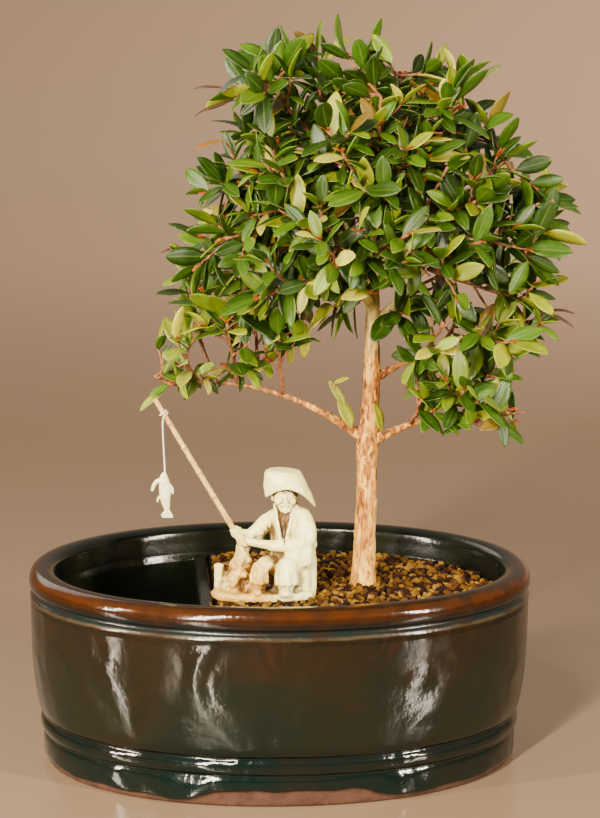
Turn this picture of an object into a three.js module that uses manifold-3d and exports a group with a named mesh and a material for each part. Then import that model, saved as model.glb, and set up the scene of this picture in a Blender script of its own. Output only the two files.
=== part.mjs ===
// A brush cherry bonsai in an oval glazed pot, in millimetres with +Z up.
// The pot has a water basin at its left end and soil behind a low inner wall. A small
// fired-clay fisherman sits on the soil with a cane rod, a line and a fish over the basin.
// The origin is the middle of the pot's flat underside. The pot's length runs along X.
import * as THREE from "three";
import { mergeVertices } from "three/addons/utils/BufferGeometryUtils.js";
import Module from "manifold-3d";

const wasm = await Module();
wasm.setup();

// Driving dimensions

const POT = {
  length: 200, // over the rolled lip
  depth: 152,
  height: 78,
  roundness: 2.1, // superellipse exponent of the oval
  sides: 36,
};
const WALL = { floorTop: 11, innerInset: 9.4, floorInset: 12.5 };
const FEET = { x: 45, halfWidth: 15, bulge: 1.3 }; // two in front and two behind, in low relief
const BASIN_WALL = { left: -33, right: -27, top: 66 };
const DRAIN = { radius: 6, x: 46, sides: 12 };
const GAP = 0.3; // clearance between pieces that touch
const SOIL = { level: 66.6, grain: 1.7, cell: 7.4 };
const TRUNK = { root: 44, soil: 67, top: 232, baseRadius: 4.5, topRadius: 1.5, sides: 8 };
const CROWN = {
  middle: [34, 8, 212],
  halfDepth: 62,
  // Reach of the outline from its middle, seen from the front, every 20 degrees from the right.
  reach: [82, 74, 67, 75, 70, 76, 82, 77, 70, 72, 85, 88, 60, 40, 40, 92, 87, 78],
  limbs: 9,
  sprays: 36,
  limbShare: 0.5, // how far out of the crown a limb goes
};
const LEAF = { length: 19, width: 7.6, thickness: 0.9, fold: 0.5 };
const TWIG = { radius: 0.9, tipRadius: 0.6, sides: 3 };
const ROD = { butt: [-15.4, -10, 87.1], tip: [-50, -10, 146], radius: 1.15, tipRadius: 0.95, joints: 6 };
const LINE = { radius: 0.3, from: 7.4, turns: 1.25, pitch: 1.1, low: 116.9, sides: 8, steps: 30 };
const FISH = { length: 17.6, width: 4.6, depth: 3.2 };
const FISHER = { x: -6.5, y: -9.5, seat: 66.3, baseTop: 69.8 };

// Deterministic draws: the same numbers always give the same share from 0 to 1.
function draw(...numbers) {
  let h = 2166136261;
  for (const n of numbers) {
    h = Math.imul(h ^ (n + 374761393), 16777619);
    h ^= h >>> 13;
    h = Math.imul(h, 1274126177);
    h ^= h >>> 16;
  }
  return (h >>> 0) / 4294967296;
}

const between = (low, high, share) => low + (high - low) * share;
const vec = (x, y, z) => new THREE.Vector3(x, y, z);

// Solids

function solidOf(geometry) {
  const bare = new THREE.BufferGeometry();
  bare.setAttribute("position", geometry.getAttribute("position").clone());
  if (geometry.index) bare.setIndex(geometry.index.clone());
  const merged = mergeVertices(bare, 1e-4);
  const vertProperties = merged.attributes.position.array;
  const build = (triVerts) => new wasm.Manifold(new wasm.Mesh({ numProp: 3, vertProperties, triVerts }));
  const faces = new Uint32Array(merged.index.array);
  const solid = build(faces);
  // A skin whose faces look inward is turned to look outward.
  return solid.volume() < 0 ? build(faces.slice().reverse()) : solid;
}

// A closed skin over rings of points. A ring of one point closes an end.
function loft(rings) {
  const points = rings.flat();
  const starts = [];
  rings.reduce((at, ring) => (starts.push(at), at + ring.length), 0);
  const faces = [];
  for (let r = 0; r + 1 < rings.length; r++) {
    const [a, b, from, to] = [rings[r].length, rings[r + 1].length, starts[r], starts[r + 1]];
    for (let i = 0; i < Math.max(a, b); i++) {
      const j = (i + 1) % Math.max(a, b);
      if (a > 1) faces.push(from + i, from + j, to + (b > 1 ? j : 0));
      if (b > 1) faces.push(from + (a > 1 ? i : 0), to + j, to + i);
    }
  }
  const cap = (ring, at, turned) => {
    const [one, other] = turned ? [1, 0] : [0, 1];
    for (let i = 1; i + 1 < ring.length; i++) faces.push(at, at + i + one, at + i + other);
  };
  cap(rings[0], starts[0], true);
  cap(rings.at(-1), starts.at(-1), false);
  const geometry = new THREE.BufferGeometry().setFromPoints(points);
  return solidOf(geometry.setIndex(faces));
}

// A round bar through the points, with a radius at each. Sides are spread evenly round it.
function bar(points, radii, sides) {
  const along = points.map((p, i) =>
    points[Math.min(i + 1, points.length - 1)].clone().sub(points[Math.max(i - 1, 0)]).normalize(),
  );
  const side = Math.abs(along[0].z) > 0.9 ? vec(1, 0, 0) : vec(0, 0, 1);
  const rings = points.map((p, i) => {
    side.addScaledVector(along[i], -side.dot(along[i])).normalize();
    const other = along[i].clone().cross(side);
    return Array.from({ length: sides }, (_, k) => {
      const turn = (2 * Math.PI * k) / sides;
      return p
        .clone()
        .addScaledVector(side, radii[i] * Math.cos(turn))
        .addScaledVector(other, radii[i] * Math.sin(turn));
    });
  });
  return loft(rings);
}

function ball(centre, radii, across = 8, down = 6) {
  const geometry = new THREE.SphereGeometry(1, across, down).scale(...radii).translate(...centre);
  return solidOf(geometry);
}

const joined = (solids) => wasm.Manifold.union(solids);

function meshOf(solid, name, material) {
  const m = solid.getMesh();
  const geometry = new THREE.BufferGeometry();
  const positions = new Float32Array(m.numVert * 3);
  for (let i = 0; i < m.numVert; i++)
    positions.set(m.vertProperties.subarray(i * m.numProp, i * m.numProp + 3), i * 3);
  geometry.setAttribute("position", new THREE.BufferAttribute(positions, 3));
  geometry.setIndex(new THREE.BufferAttribute(new Uint32Array(m.triVerts), 1));
  geometry.computeVertexNormals();
  const mesh = new THREE.Mesh(geometry, material);
  mesh.name = name;
  return mesh;
}

// Keeps the largest body of a solid, so that a loose scrap left by a cut is dropped.
function largestBody(solid) {
  return solid.decompose().reduce((best, s) => (s.volume() > best.volume() ? s : best));
}

// The pot

// One ring of the oval, moved in from the lip's outermost line by inset. Inset and height are
// numbers, or functions of the place along the pot.
function ovalRing(inset, height) {
  const valueAt = (value, x) => (typeof value === "function" ? value(x) : value);
  const rounded = (v) => Math.sign(v) * Math.abs(v) ** (2 / POT.roundness);
  return Array.from({ length: POT.sides }, (_, i) => {
    const turn = (2 * Math.PI * i) / POT.sides;
    const along = rounded(Math.cos(turn));
    const here = (POT.length / 2) * along;
    const x = here - valueAt(inset, here) * along;
    const y = (POT.depth / 2 - valueAt(inset, here)) * rounded(Math.sin(turn));
    return vec(x, y, valueAt(height, here));
  });
}

// How much of a foot stands at this place along the pot, from 0 to 1.
function footShare(x) {
  const off = Math.abs(Math.abs(x) - FEET.x) / FEET.halfWidth;
  return off < 1 ? Math.cos((off * Math.PI) / 2) : 0;
}

// The glaze's lower edge: high between the feet, low on them and towards the ends.
function glazeEdge(x) {
  return between(Math.abs(x) < FEET.x ? 6.4 : 2.6, 2.2, footShare(x));
}

function makePot() {
  const apron = (x) => 4.9 - FEET.bulge * footShare(x);
  const skin = loft([
    ovalRing(6.6, 0),
    ovalRing(6.3, glazeEdge),
    ovalRing(apron, (x) => glazeEdge(x) + 0.6),
    ovalRing(4.9, 10.8),
    ovalRing(5.7, 12.3),
    ovalRing(4, 14),
    ovalRing(4, 17.4),
    ovalRing(5.2, 19.2),
    ovalRing(3.8, 21),
    ovalRing(1.4, 36),
    ovalRing(0.7, 46),
    ovalRing(0.7, 65),
    ovalRing(1.8, 69),
    ovalRing(0.1, 70.2),
    ovalRing(0.2, 74.6),
    ovalRing(2.6, 77.4),
    ovalRing(6.4, POT.height),
    ovalRing(10.9, 76),
    ovalRing(9, 69.5),
    ovalRing(WALL.innerInset, 24),
    ovalRing(WALL.floorInset, WALL.floorTop),
  ]);
  const wallFoot = WALL.floorTop / 2;
  const basinWall = solidOf(
    new THREE.BoxGeometry(BASIN_WALL.right - BASIN_WALL.left, POT.depth, BASIN_WALL.top - wallFoot).translate(
      (BASIN_WALL.right + BASIN_WALL.left) / 2,
      0,
      (BASIN_WALL.top + wallFoot) / 2,
    ),
  );
  const intoWall = WALL.innerInset - 2; // the inner wall runs a little into the outer one
  const insideSkin = loft([ovalRing(WALL.floorInset, 4), ovalRing(intoWall, 24), ovalRing(intoWall, 70)]);
  const drain = solidOf(
    new THREE.CylinderGeometry(DRAIN.radius, DRAIN.radius, 4 * WALL.floorTop, DRAIN.sides)
      .rotateX(Math.PI / 2)
      .translate(DRAIN.x, 0, 0),
  );
  return skin.add(basinWall.intersect(insideSkin)).subtract(drain);
}

// The soil

// The height of the soil's grains at a grid point.
function soilHeight(i, j) {
  return SOIL.level + SOIL.grain * (draw(i, j, 11) - 0.35);
}

// A block whose top is a grid of grains. It is cut to the pot's inside afterwards.
function grainBlock() {
  const [x0, y0, x1, y1, bottom] = [-30, -75, 100, 75, WALL.floorTop - 4];
  const [across, deep] = [Math.round((x1 - x0) / SOIL.cell), Math.round((y1 - y0) / SOIL.cell)];
  const points = [];
  const faces = [];
  for (let j = 0; j <= deep; j++)
    for (let i = 0; i <= across; i++)
      points.push(vec(between(x0, x1, i / across), between(y0, y1, j / deep), soilHeight(i, j)));
  const at = (i, j) => j * (across + 1) + i;
  for (let j = 0; j < deep; j++)
    for (let i = 0; i < across; i++)
      faces.push(at(i, j), at(i + 1, j), at(i + 1, j + 1), at(i, j), at(i + 1, j + 1), at(i, j + 1));
  const rim = [];
  for (let i = 0; i < across; i++) rim.push(at(i, 0));
  for (let j = 0; j < deep; j++) rim.push(at(across, j));
  for (let i = across; i > 0; i--) rim.push(at(i, deep));
  for (let j = deep; j > 0; j--) rim.push(at(0, j));
  const low = points.length;
  rim.forEach((k) => points.push(vec(points[k].x, points[k].y, bottom)));
  points.push(vec((x0 + x1) / 2, 0, bottom));
  rim.forEach((k, i) => {
    const j = (i + 1) % rim.length;
    faces.push(k, low + i, low + j, k, low + j, rim[j]);
    faces.push(low + j, low + i, points.length - 1);
  });
  return solidOf(new THREE.BufferGeometry().setFromPoints(points).setIndex(faces));
}

function makeSoil(holes) {
  const inside = loft([
    ovalRing(WALL.floorInset + GAP, WALL.floorTop + GAP),
    ovalRing(WALL.innerInset + GAP, 24),
    ovalRing(9 + 2 * GAP, 69.5),
    ovalRing(9 + 2 * GAP, 90),
  ]);
  const halfSpace = new THREE.BoxGeometry(140, 160, 90).translate(BASIN_WALL.right + GAP + 70, 0, 55);
  const besideWall = solidOf(halfSpace);
  let soil = grainBlock().intersect(inside).intersect(besideWall);
  for (const hole of holes) soil = soil.subtract(hole);
  return largestBody(soil);
}

// The wood

// Points of the trunk's middle line, from the root end to where it thins out in the crown.
const TRUNK_LINE = [
  [33.6, 9, TRUNK.root],
  [34.2, 9, TRUNK.soil],
  [35.1, 9, 100],
  [35.6, 9, 126],
  [36.8, 9, 150],
  [36.8, 9, 182],
  [35.5, 9.6, 206],
  [36.4, 8, TRUNK.top],
];

// The point of the trunk's line at a height.
function onTrunk(z) {
  const k = Math.max(TRUNK_LINE.findIndex((p) => p[2] >= z), 1);
  const [low, high] = [TRUNK_LINE[k - 1], TRUNK_LINE[k]];
  return vec(...low).lerp(vec(...high), (z - low[2]) / (high[2] - low[2]));
}

function trunkRadius(z) {
  const share = THREE.MathUtils.clamp((z - TRUNK.soil) / (TRUNK.top - TRUNK.soil), 0, 1);
  const flare = 0.9 * Math.exp(-Math.max(z - TRUNK.soil, 0) / 5);
  const fork = 0.7 * Math.exp(-(((z - 124) / 9) ** 2));
  return between(TRUNK.baseRadius, TRUNK.topRadius, share ** 1.25) + flare + fork;
}

// A point of the crown, at a share of its reach along a direction from its middle.
function crownPoint(direction, share, inside = 0) {
  const turn = (THREE.MathUtils.radToDeg(Math.atan2(direction.z, direction.x)) + 360) % 360;
  const k = Math.floor(turn / 20);
  const front = between(CROWN.reach[k], CROWN.reach[(k + 1) % CROWN.reach.length], turn / 20 - k);
  const across = Math.hypot(direction.x, direction.z) / front;
  const reach = 1 / Math.hypot(across, direction.y / CROWN.halfDepth);
  return vec(...CROWN.middle).addScaledVector(direction, share * reach - inside);
}

// Limbs low on the trunk: the height where each leaves it, the bend, the end, its radius and, for
// each leafy spray, the share of the limb where it starts and the point where its twig ends.
const LOW_LIMBS = [
  {
    name: "left",
    from: 125,
    bend: [-2, 4, 153.5],
    end: [-40, 3, 150],
    radius: 1.7,
    sprays: [
      { at: 0.1, end: [19, 3, 153] },
      { at: 0.46, end: [-2, -12, 171] },
      { at: 0.58, end: [-10, 16, 176] },
      { at: 0.7, end: [-22, -12, 176] },
      { at: 0.81, end: [-34, 14, 174] },
      { at: 0.91, end: [-41, -9, 168] },
      { at: 1, end: [-50, 4, 153] },
    ],
  },
  {
    name: "right",
    from: 123.5,
    bend: [60, 3, 140],
    end: [78, 2, 133],
    radius: 1.6,
    sprays: [
      { at: 0.36, end: [54, -14, 146] },
      { at: 0.52, end: [66, 15, 150] },
      { at: 0.66, end: [70, -18, 150] },
      { at: 0.8, end: [84, 10, 152] },
      { at: 0.91, end: [88, -14, 141] },
      { at: 1, end: [89, 6, 135] },
    ],
  },
  {
    name: "right_upper",
    from: 150,
    bend: [56, 12, 160],
    end: [80, 8, 170],
    radius: 1.4,
    sprays: [
      { at: 0.5, end: [62, -14, 176] },
      { at: 0.68, end: [76, 28, 176] },
      { at: 0.86, end: [88, -12, 168] },
      { at: 1, end: [99, 12, 172] },
    ],
  },
];

// A direction of an even spread of them, from straight up round and down to the lowest rise.
function evenDirection(k, count, lowest) {
  const rise = between(1, lowest, (k + 0.5) / count);
  const turn = Math.PI * (3 - Math.sqrt(5)) * k;
  const flat = Math.sqrt(1 - rise * rise);
  return vec(flat * Math.cos(turn), flat * Math.sin(turn), rise);
}

// The limbs inside the crown leave the trunk all round, the highest one first.
function crownLimb(k) {
  const share = k / (CROWN.limbs - 1);
  const direction = evenDirection(k, CROWN.limbs, -0.2);
  const start = onTrunk(between(228, 172, share));
  const end = crownPoint(direction, CROWN.limbShare);
  const bend = start.clone().lerp(end, 0.5).add(vec(0, 0, -4 * share));
  return { name: "crown", direction, start, bend, end, radius: between(1.2, 1.8, share), sprays: [] };
}

function listLimbs() {
  const low = LOW_LIMBS.map((limb) => ({
    ...limb,
    start: onTrunk(limb.from),
    bend: vec(...limb.bend),
    end: vec(...limb.end),
  }));
  return [...low, ...Array.from({ length: CROWN.limbs }, (_, k) => crownLimb(k))];
}

const limbs = listLimbs();

function limbCurve(limb) {
  return new THREE.QuadraticBezierCurve3(limb.start, limb.bend, limb.end);
}

function makeWood(grow = 0) {
  const heights = [TRUNK.root, 60, 67, 71, 84, 104, 122, 132, 152, 180, 206, TRUNK.top];
  const trunk = bar(
    heights.map((z) => onTrunk(z)),
    heights.map((z) => trunkRadius(z) + grow),
    TRUNK.sides,
  );
  const steps = [0, 0.25, 0.5, 0.75, 1];
  const arms = limbs.map((limb) =>
    bar(
      steps.map((t) => limbCurve(limb).getPoint(t)),
      steps.map((t) => between(limb.radius, TWIG.radius + 0.1, t) + grow),
      5,
    ),
  );
  return joined([trunk, ...arms]);
}

// The leaves

// One blade: it leaves root along direction, its upper face towards facing. It is widest past
// its middle, folded a little along the midrib, and its tip bends down. A grown blade is the
// room that it needs, and its part near the root may be left out.
function bladeSolid(leaf, grow = 0, whole = true) {
  const along = leaf.direction;
  const up = leaf.facing.clone().addScaledVector(along, -leaf.facing.dot(along)).normalize();
  const side = along.clone().cross(up);
  const place = (share, across, rise) =>
    leaf.root
      .clone()
      .addScaledVector(along, share * leaf.length)
      .addScaledVector(side, across)
      .addScaledVector(up, rise - leaf.bend * leaf.length * share ** 2);
  const section = (share, spread) => [
    place(share, -(leaf.width / 2 + grow) * spread, LEAF.fold * spread + grow),
    place(share, 0, -(LEAF.thickness + grow) * spread),
    place(share, (leaf.width / 2 + grow) * spread, LEAF.fold * spread + grow),
  ];
  const outer = [section(0.33, 0.88), section(0.72, 0.9), [place(1 + grow / leaf.length, 0, 0)]];
  return loft(whole ? [[place(0, 0, 0)], ...outer] : outer);
}

// The middle line of a spray's twig.
function twigCurve(spray) {
  const middle = spray.start.clone().add(spray.end).multiplyScalar(0.5);
  middle.z -= spray.sag;
  return new THREE.QuadraticBezierCurve3(spray.start, middle, spray.end);
}

// The places of a spray's leaves: opposite pairs along the twig and one leaf at its end.
const PAIRS = [0.38, 0.63, 0.88];
const ATTEMPTS = 12;

// The leaf of a pair and side, each pair crosswise to the one before. The last leaf goes on
// along the twig. Each attempt turns and leans it another way.
function leafAt(spray, pair, side, attempt) {
  const key = [spray.number, pair, side, attempt];
  const curve = twigCurve(spray);
  const atEnd = pair === PAIRS.length;
  const share = atEnd ? 1 : PAIRS[pair];
  const root = curve.getPoint(share);
  const along = curve.getTangent(share);
  const across = along.clone().cross(vec(0, 0, 1)).normalize();
  const above = across.clone().cross(along);
  const looser = 1 + 0.35 * attempt;
  const turned = spray.turn + 90 * pair + 180 * side + 34 * looser * (draw(...key, 1) - 0.5);
  const leant = (atEnd ? 12 : 64 - 6 * pair) + 20 * looser * (draw(...key, 2) - 0.5);
  const [turn, lean] = [THREE.MathUtils.degToRad(turned), THREE.MathUtils.degToRad(leant)];
  const outward = across.clone().multiplyScalar(Math.cos(turn)).addScaledVector(above, Math.sin(turn));
  const direction = along.clone().multiplyScalar(Math.cos(lean)).addScaledVector(outward, Math.sin(lean));
  const facing = along.clone().multiplyScalar(0.75).add(vec(0, 0, 0.7)).addScaledVector(outward, -0.35);
  facing.x += 0.5 * (draw(...key, 3) - 0.5);
  facing.y += 0.5 * (draw(...key, 4) - 0.5);
  const size = between(0.8, 1.14, draw(...key, 5)) * (attempt > 6 ? 0.85 : 1);
  return {
    root: root.addScaledVector(outward, atEnd ? 0 : -0.2).addScaledVector(along, atEnd ? -0.6 : 0),
    direction,
    facing,
    length: LEAF.length * size,
    width: LEAF.width * size,
    bend: between(0.04, 0.2, draw(...key, 6)),
  };
}

// The sprays of the crown end evenly all over it. Each is given to the limb that points most its
// way, and the widest from that limb start the furthest down it.
function shareOutCrownSprays() {
  const crownLimbs = limbs.filter((limb) => limb.name === "crown");
  for (let k = 0; k < CROWN.sprays; k++) {
    const direction = evenDirection(k, CROWN.sprays, -0.5);
    const nearness = (limb) => limb.direction.dot(direction);
    const limb = crownLimbs.reduce((best, other) => (nearness(other) > nearness(best) ? other : best));
    const end = crownPoint(direction, 1, between(11, 17, draw(k, 8)));
    limb.sprays.push({ end: end.toArray(), nearness: nearness(limb) });
  }
  for (const limb of crownLimbs) {
    limb.sprays.sort((a, b) => a.nearness - b.nearness);
    limb.sprays.forEach((spray, i) => (spray.at = between(0.5, 1, (i + 1) / limb.sprays.length)));
  }
}

function listSprays() {
  shareOutCrownSprays();
  const sprays = [];
  const counts = {};
  for (const limb of limbs)
    for (const { at, end } of limb.sprays) {
      const number = sprays.length;
      counts[limb.name] = (counts[limb.name] ?? 0) + 1;
      sprays.push({
        number,
        name: `${limb.name}_spray_${counts[limb.name]}`,
        start: limbCurve(limb).getPoint(at),
        end: vec(...end),
        sag: between(0.5, 2.5, draw(number, 3)),
        turn: 360 * draw(number, 4),
      });
    }
  return sprays;
}

function overlaps(solid, others) {
  const box = solid.boundingBox();
  return others.some((other) => {
    const b = other.boundingBox();
    const apart = [0, 1, 2].some((i) => box.min[i] > b.max[i] || b.min[i] > box.max[i]);
    return !apart && !solid.intersect(other).isEmpty();
  });
}

function twigSolid(spray) {
  const curve = twigCurve(spray);
  const shares = [0, 0.45, 1];
  return bar(
    shares.map((t) => curve.getPoint(t)),
    shares.map((t) => between(TWIG.radius, TWIG.tipRadius, t)),
    TWIG.sides,
  );
}

// Grows every spray in turn. A leaf that would cross another spray, the wood or a leaf of its own
// spray is turned another way, and it is left out when no way is clear.
function growSprays(wood, grownWood, neighbours) {
  const sprays = listSprays();
  const twigs = sprays.map(twigSolid);
  const done = [];
  for (const spray of sprays) {
    const others = [wood, ...neighbours, ...done, ...twigs.slice(spray.number + 1)];
    const kept = [];
    for (let place = 0; place < 2 * PAIRS.length + 1; place++)
      for (let attempt = 0; attempt < ATTEMPTS; attempt++) {
        const leaf = leafAt(spray, Math.floor(place / 2), place % 2, attempt);
        const crossesOwn = overlaps(bladeSolid(leaf, GAP, false), kept);
        if (crossesOwn || overlaps(bladeSolid(leaf, GAP), others)) continue;
        kept.push(bladeSolid(leaf));
        break;
      }
    done.push(largestBody(joined([twigs[spray.number], ...kept]).subtract(grownWood)));
  }
  return { sprays, solids: done };
}

// The fisherman, sitting with knees up, a wide hat on the head and both hands on the rod.

function ring(x, y, z, rx, ry, sides = 10, tiltX = 0, tiltY = 0) {
  return Array.from({ length: sides }, (_, i) => {
    const turn = (2 * Math.PI * i) / sides;
    const [dx, dy] = [rx * Math.cos(turn), ry * Math.sin(turn)];
    return vec(x + dx, y + dy, z + tiltX * dx + tiltY * dy);
  });
}

// The rocky base, as distances from its middle every 30 degrees.
function baseSolid(grow, bottom, top) {
  const reach = [20, 18.5, 15.5, 13, 14.5, 19, 21.5, 22, 19, 16.5, 18, 20.5];
  const level = (z, share) =>
    reach.map((r, i) => {
      const turn = (2 * Math.PI * i) / reach.length;
      const far = share * (r + grow);
      return vec(FISHER.x + far * Math.cos(turn), FISHER.y + 0.66 * far * Math.sin(turn), z);
    });
  return loft([level(bottom, 1), level((bottom + top) / 2, 1), level(top, 0.9)]);
}

function makeFisher(rodHole) {
  const robe = loft([
    ring(4.4, -7, 67, 9.4, 8.8),
    ring(4.6, -7, 80, 9.2, 7.8),
    ring(4.2, -7, 92, 9.2, 6.8),
    ring(3, -7.4, 99, 8.4, 5.4),
    ring(2.4, -8, 103, 4.4, 3.8),
  ]);
  const head = ball([1.2, -9.6, 106.6], [5, 5, 6]);
  const hat = loft([
    [vec(0.6, -7, 118.4)],
    ring(0.5, -7, 117.6, 6.4, 5.8, 10, -0.04),
    ring(1.4, -7, 113.6, 8.6, 7.6, 10, -0.14, -0.12),
    ring(3.3, -6.8, 107.4, 10.4, 8.6, 10, -0.28, -0.26),
    ring(3, -7, 108.6, 5.6, 5.2, 10, -0.28, -0.26),
  ]);
  const beard = bar([vec(0.4, -13.4, 104.4), vec(0, -14, 99.6), vec(-0.4, -13.4, 95)], [2.6, 2.2, 0.8], 6);
  const nearArm = bar(
    [vec(9, -10, 97), vec(8.6, -14, 89), vec(-2, -15, 87.4), vec(-13, -11.4, 88)],
    [3.2, 3.4, 2.6, 2],
    7,
  );
  const farArm = bar([vec(-2.6, -8, 98), vec(-8.6, -7.4, 92.6), vec(-14, -9, 89)], [3.6, 3.4, 2.2], 7);
  const hands = ball([-16.6, -10, 88.8], [3.4, 3, 4.8]);
  const nearLeg = bar([vec(6, -9, 76), vec(1.6, -18.6, 80), vec(1, -18.4, 70)], [4.8, 4.2, 3.6], 7);
  const farLeg = bar([vec(0, -9, 76), vec(-8, -14.4, 79), vec(-9.6, -15.4, 69)], [4.4, 3.6, 3], 7);
  const shoes = ball([0.6, -19.4, 71], [3.6, 3.8, 2.6]).add(ball([-10.6, -16.6, 70.6], [3, 4.2, 2.4]));
  const rock = loft([
    ring(-17, -9.4, 67, 7.4, 7.6, 7),
    ring(-16.8, -9.2, 74, 5.8, 6.4, 7),
    ring(-15.6, -9.6, 81, 4.6, 4.6, 7),
    [vec(-16, -9.8, 88)],
  ]);
  const post = loft([
    ring(-24.6, -9.5, 68, 2.6, 2.8, 6),
    ring(-25, -9.5, 78, 1.9, 2.1, 6),
    [vec(-25, -9.5, 79.4)],
  ]);
  const figure = joined([robe, head, hat, beard, nearArm, farArm, hands, nearLeg, farLeg, shoes, rock, post]);
  const room = new THREE.BoxGeometry(90, 90, 60).translate(FISHER.x, FISHER.y, FISHER.baseTop + 29);
  const aboveSoil = solidOf(room);
  const base = baseSolid(0, FISHER.seat, FISHER.baseTop);
  return largestBody(base.add(figure.intersect(aboveSoil)).subtract(rodHole));
}

// The rod, its line and the fish

const [rodButt, rodTip] = [vec(...ROD.butt), vec(...ROD.tip)];

// The cane has a low ring at each joint, none where the line is wound on.
function rodSolid(grow = 0) {
  const points = [];
  const radii = [];
  for (let i = 0; i <= ROD.joints; i++) {
    const share = i / ROD.joints;
    const radius = between(ROD.tipRadius, ROD.radius, share) + grow;
    const inner = i > 0 && i < ROD.joints;
    for (const [off, swell] of inner ? [[-0.012, 0], [0, 0.22], [0.012, 0]] : [[0, 0]]) {
      points.push(rodTip.clone().lerp(rodButt, share + off));
      radii.push(radius + swell);
    }
  }
  return bar(points, radii, 7);
}

// The line is wound round the rod below its tip, and then hangs down in front of it to the fish.
function lineRoute() {
  const down = rodButt.clone().sub(rodTip).normalize();
  const front = vec(0, -1, 0);
  const under = down.clone().cross(front).normalize();
  const radius = ROD.tipRadius + 0.05 + GAP + LINE.radius;
  const points = [];
  const stepsEach = 12;
  for (let k = -Math.round(LINE.turns * stepsEach); k <= 0; k++) {
    const turn = (2 * Math.PI * k) / stepsEach;
    points.push(
      rodTip
        .clone()
        .addScaledVector(down, LINE.from + (LINE.pitch * k) / stepsEach)
        .addScaledVector(front, radius * Math.cos(turn))
        .addScaledVector(under, radius * Math.sin(turn)),
    );
  }
  const left = points.at(-1);
  const hanging = [
    [-0.5, 0, -0.9],
    [-0.7, 0, -2],
    [-0.75, 0, -3.4],
    [-0.7, 0, -6],
    [-0.6, 0, -9],
    [-0.45, 0, -12],
    [-0.3, 0, -15],
    [-0.15, 0, -18],
    [0, 0, -21],
  ];
  for (const drop of hanging) points.push(left.clone().add(vec(...drop)));
  points.push(vec(left.x, left.y, LINE.low));
  return new THREE.CatmullRomCurve3(points);
}

function makeLine() {
  const section = new THREE.Shape().setFromPoints(
    Array.from({ length: LINE.sides }, (_, i) => {
      const turn = (2 * Math.PI * i) / LINE.sides;
      return new THREE.Vector2(LINE.radius * Math.cos(turn), LINE.radius * Math.sin(turn));
    }),
  );
  const route = { steps: LINE.steps, extrudePath: lineRoute(), bevelEnabled: false };
  return solidOf(new THREE.ExtrudeGeometry(section, route));
}

function makeFish() {
  const mouth = lineRoute().getPoint(1);
  const at = (down, rx, ry, shift) =>
    ring(mouth.x + shift, mouth.y, mouth.z - GAP - down * FISH.length, rx, ry, 8);
  const body = loft([
    at(0, 0.7, 0.6, -0.2),
    at(0.09, 1.5, 1.2, -0.4),
    at(0.3, FISH.width / 2, FISH.depth / 2, 0),
    at(0.56, 0.94 * (FISH.width / 2), 0.9 * (FISH.depth / 2), 0.1),
    at(0.84, 1.3, 0.9, 0.8),
    at(1, 1.9, 0.6, 1.1),
  ]);
  const finLine = [[-0.8, -3], [-3.2, -3.4], [-4.6, -5.4], [-4.9, -7.6]];
  const finPoints = finLine.map(([dx, dz]) => vec(mouth.x + dx, mouth.y, mouth.z + dz));
  return body.add(bar(finPoints, [1.1, 1, 0.9, 0.7], 5));
}

// Colours

const finish = (color, roughness) => new THREE.MeshStandardMaterial({ color, roughness, metalness: 0 });
const glaze = finish(0x23302a, 0.15);
const earth = finish(0x8a5f33, 0.95);
const bark = finish(0xb98a5c, 0.85);
const leafGreen = finish(0x3f6b1e, 0.4);
const whiteGlaze = finish(0xe9e4cc, 0.25);
const cane = finish(0xcfa56c, 0.6);
const thread = finish(0xe6ddcc, 0.8);

// The whole

const rod = rodSolid();
const line = makeLine();
const fish = makeFish();
const wood = makeWood();
const grown = growSprays(wood, makeWood(GAP), [rodSolid(GAP), line, fish]);
const soil = makeSoil([makeWood(GAP), baseSolid(GAP, FISHER.seat - GAP, 90)]);

const group = new THREE.Group();
group.add(
  meshOf(makePot(), "pot", glaze),
  meshOf(soil, "soil", earth),
  meshOf(wood, "trunk_and_limbs", bark),
  meshOf(makeFisher(rodSolid(GAP)), "fisherman", whiteGlaze),
  meshOf(rod, "rod", cane),
  meshOf(line, "fishing_line", thread),
  meshOf(fish, "fish", whiteGlaze),
);
for (const spray of grown.sprays) group.add(meshOf(grown.solids[spray.number], spray.name, leafGreen));

export default group;
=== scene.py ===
import bmesh
import bpy
import math
from mathutils import Matrix, Vector, kdtree, noise
from mathutils.bvhtree import BVHTree


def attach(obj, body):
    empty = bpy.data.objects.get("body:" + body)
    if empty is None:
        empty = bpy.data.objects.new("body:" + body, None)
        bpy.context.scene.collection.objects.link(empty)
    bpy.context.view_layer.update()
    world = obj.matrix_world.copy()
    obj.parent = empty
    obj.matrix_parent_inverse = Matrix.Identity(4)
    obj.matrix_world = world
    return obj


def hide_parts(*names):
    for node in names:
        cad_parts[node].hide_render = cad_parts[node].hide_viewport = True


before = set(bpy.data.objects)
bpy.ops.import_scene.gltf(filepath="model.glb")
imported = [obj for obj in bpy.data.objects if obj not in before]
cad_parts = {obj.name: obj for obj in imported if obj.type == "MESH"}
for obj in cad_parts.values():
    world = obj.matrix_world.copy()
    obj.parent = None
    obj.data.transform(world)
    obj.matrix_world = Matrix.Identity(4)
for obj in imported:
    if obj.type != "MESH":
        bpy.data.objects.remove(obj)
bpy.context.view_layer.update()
mm = 0.001  # the model's own lists are in millimetres, Blender works in metres


def mixed(low, high, share):
    return low + (high - low) * share


def clamped(value, low=0.0, high=1.0):
    return max(low, min(high, value))


def draw(*numbers):
    # the same numbers always give the same share from 0 to 1
    h = 2166136261
    for n in numbers:
        h = ((h ^ (n + 374761393)) * 16777619) & 0xFFFFFFFF
        h ^= h >> 13
        h = (h * 1274126177) & 0xFFFFFFFF
        h ^= h >> 16
    return h / 4294967296


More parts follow.
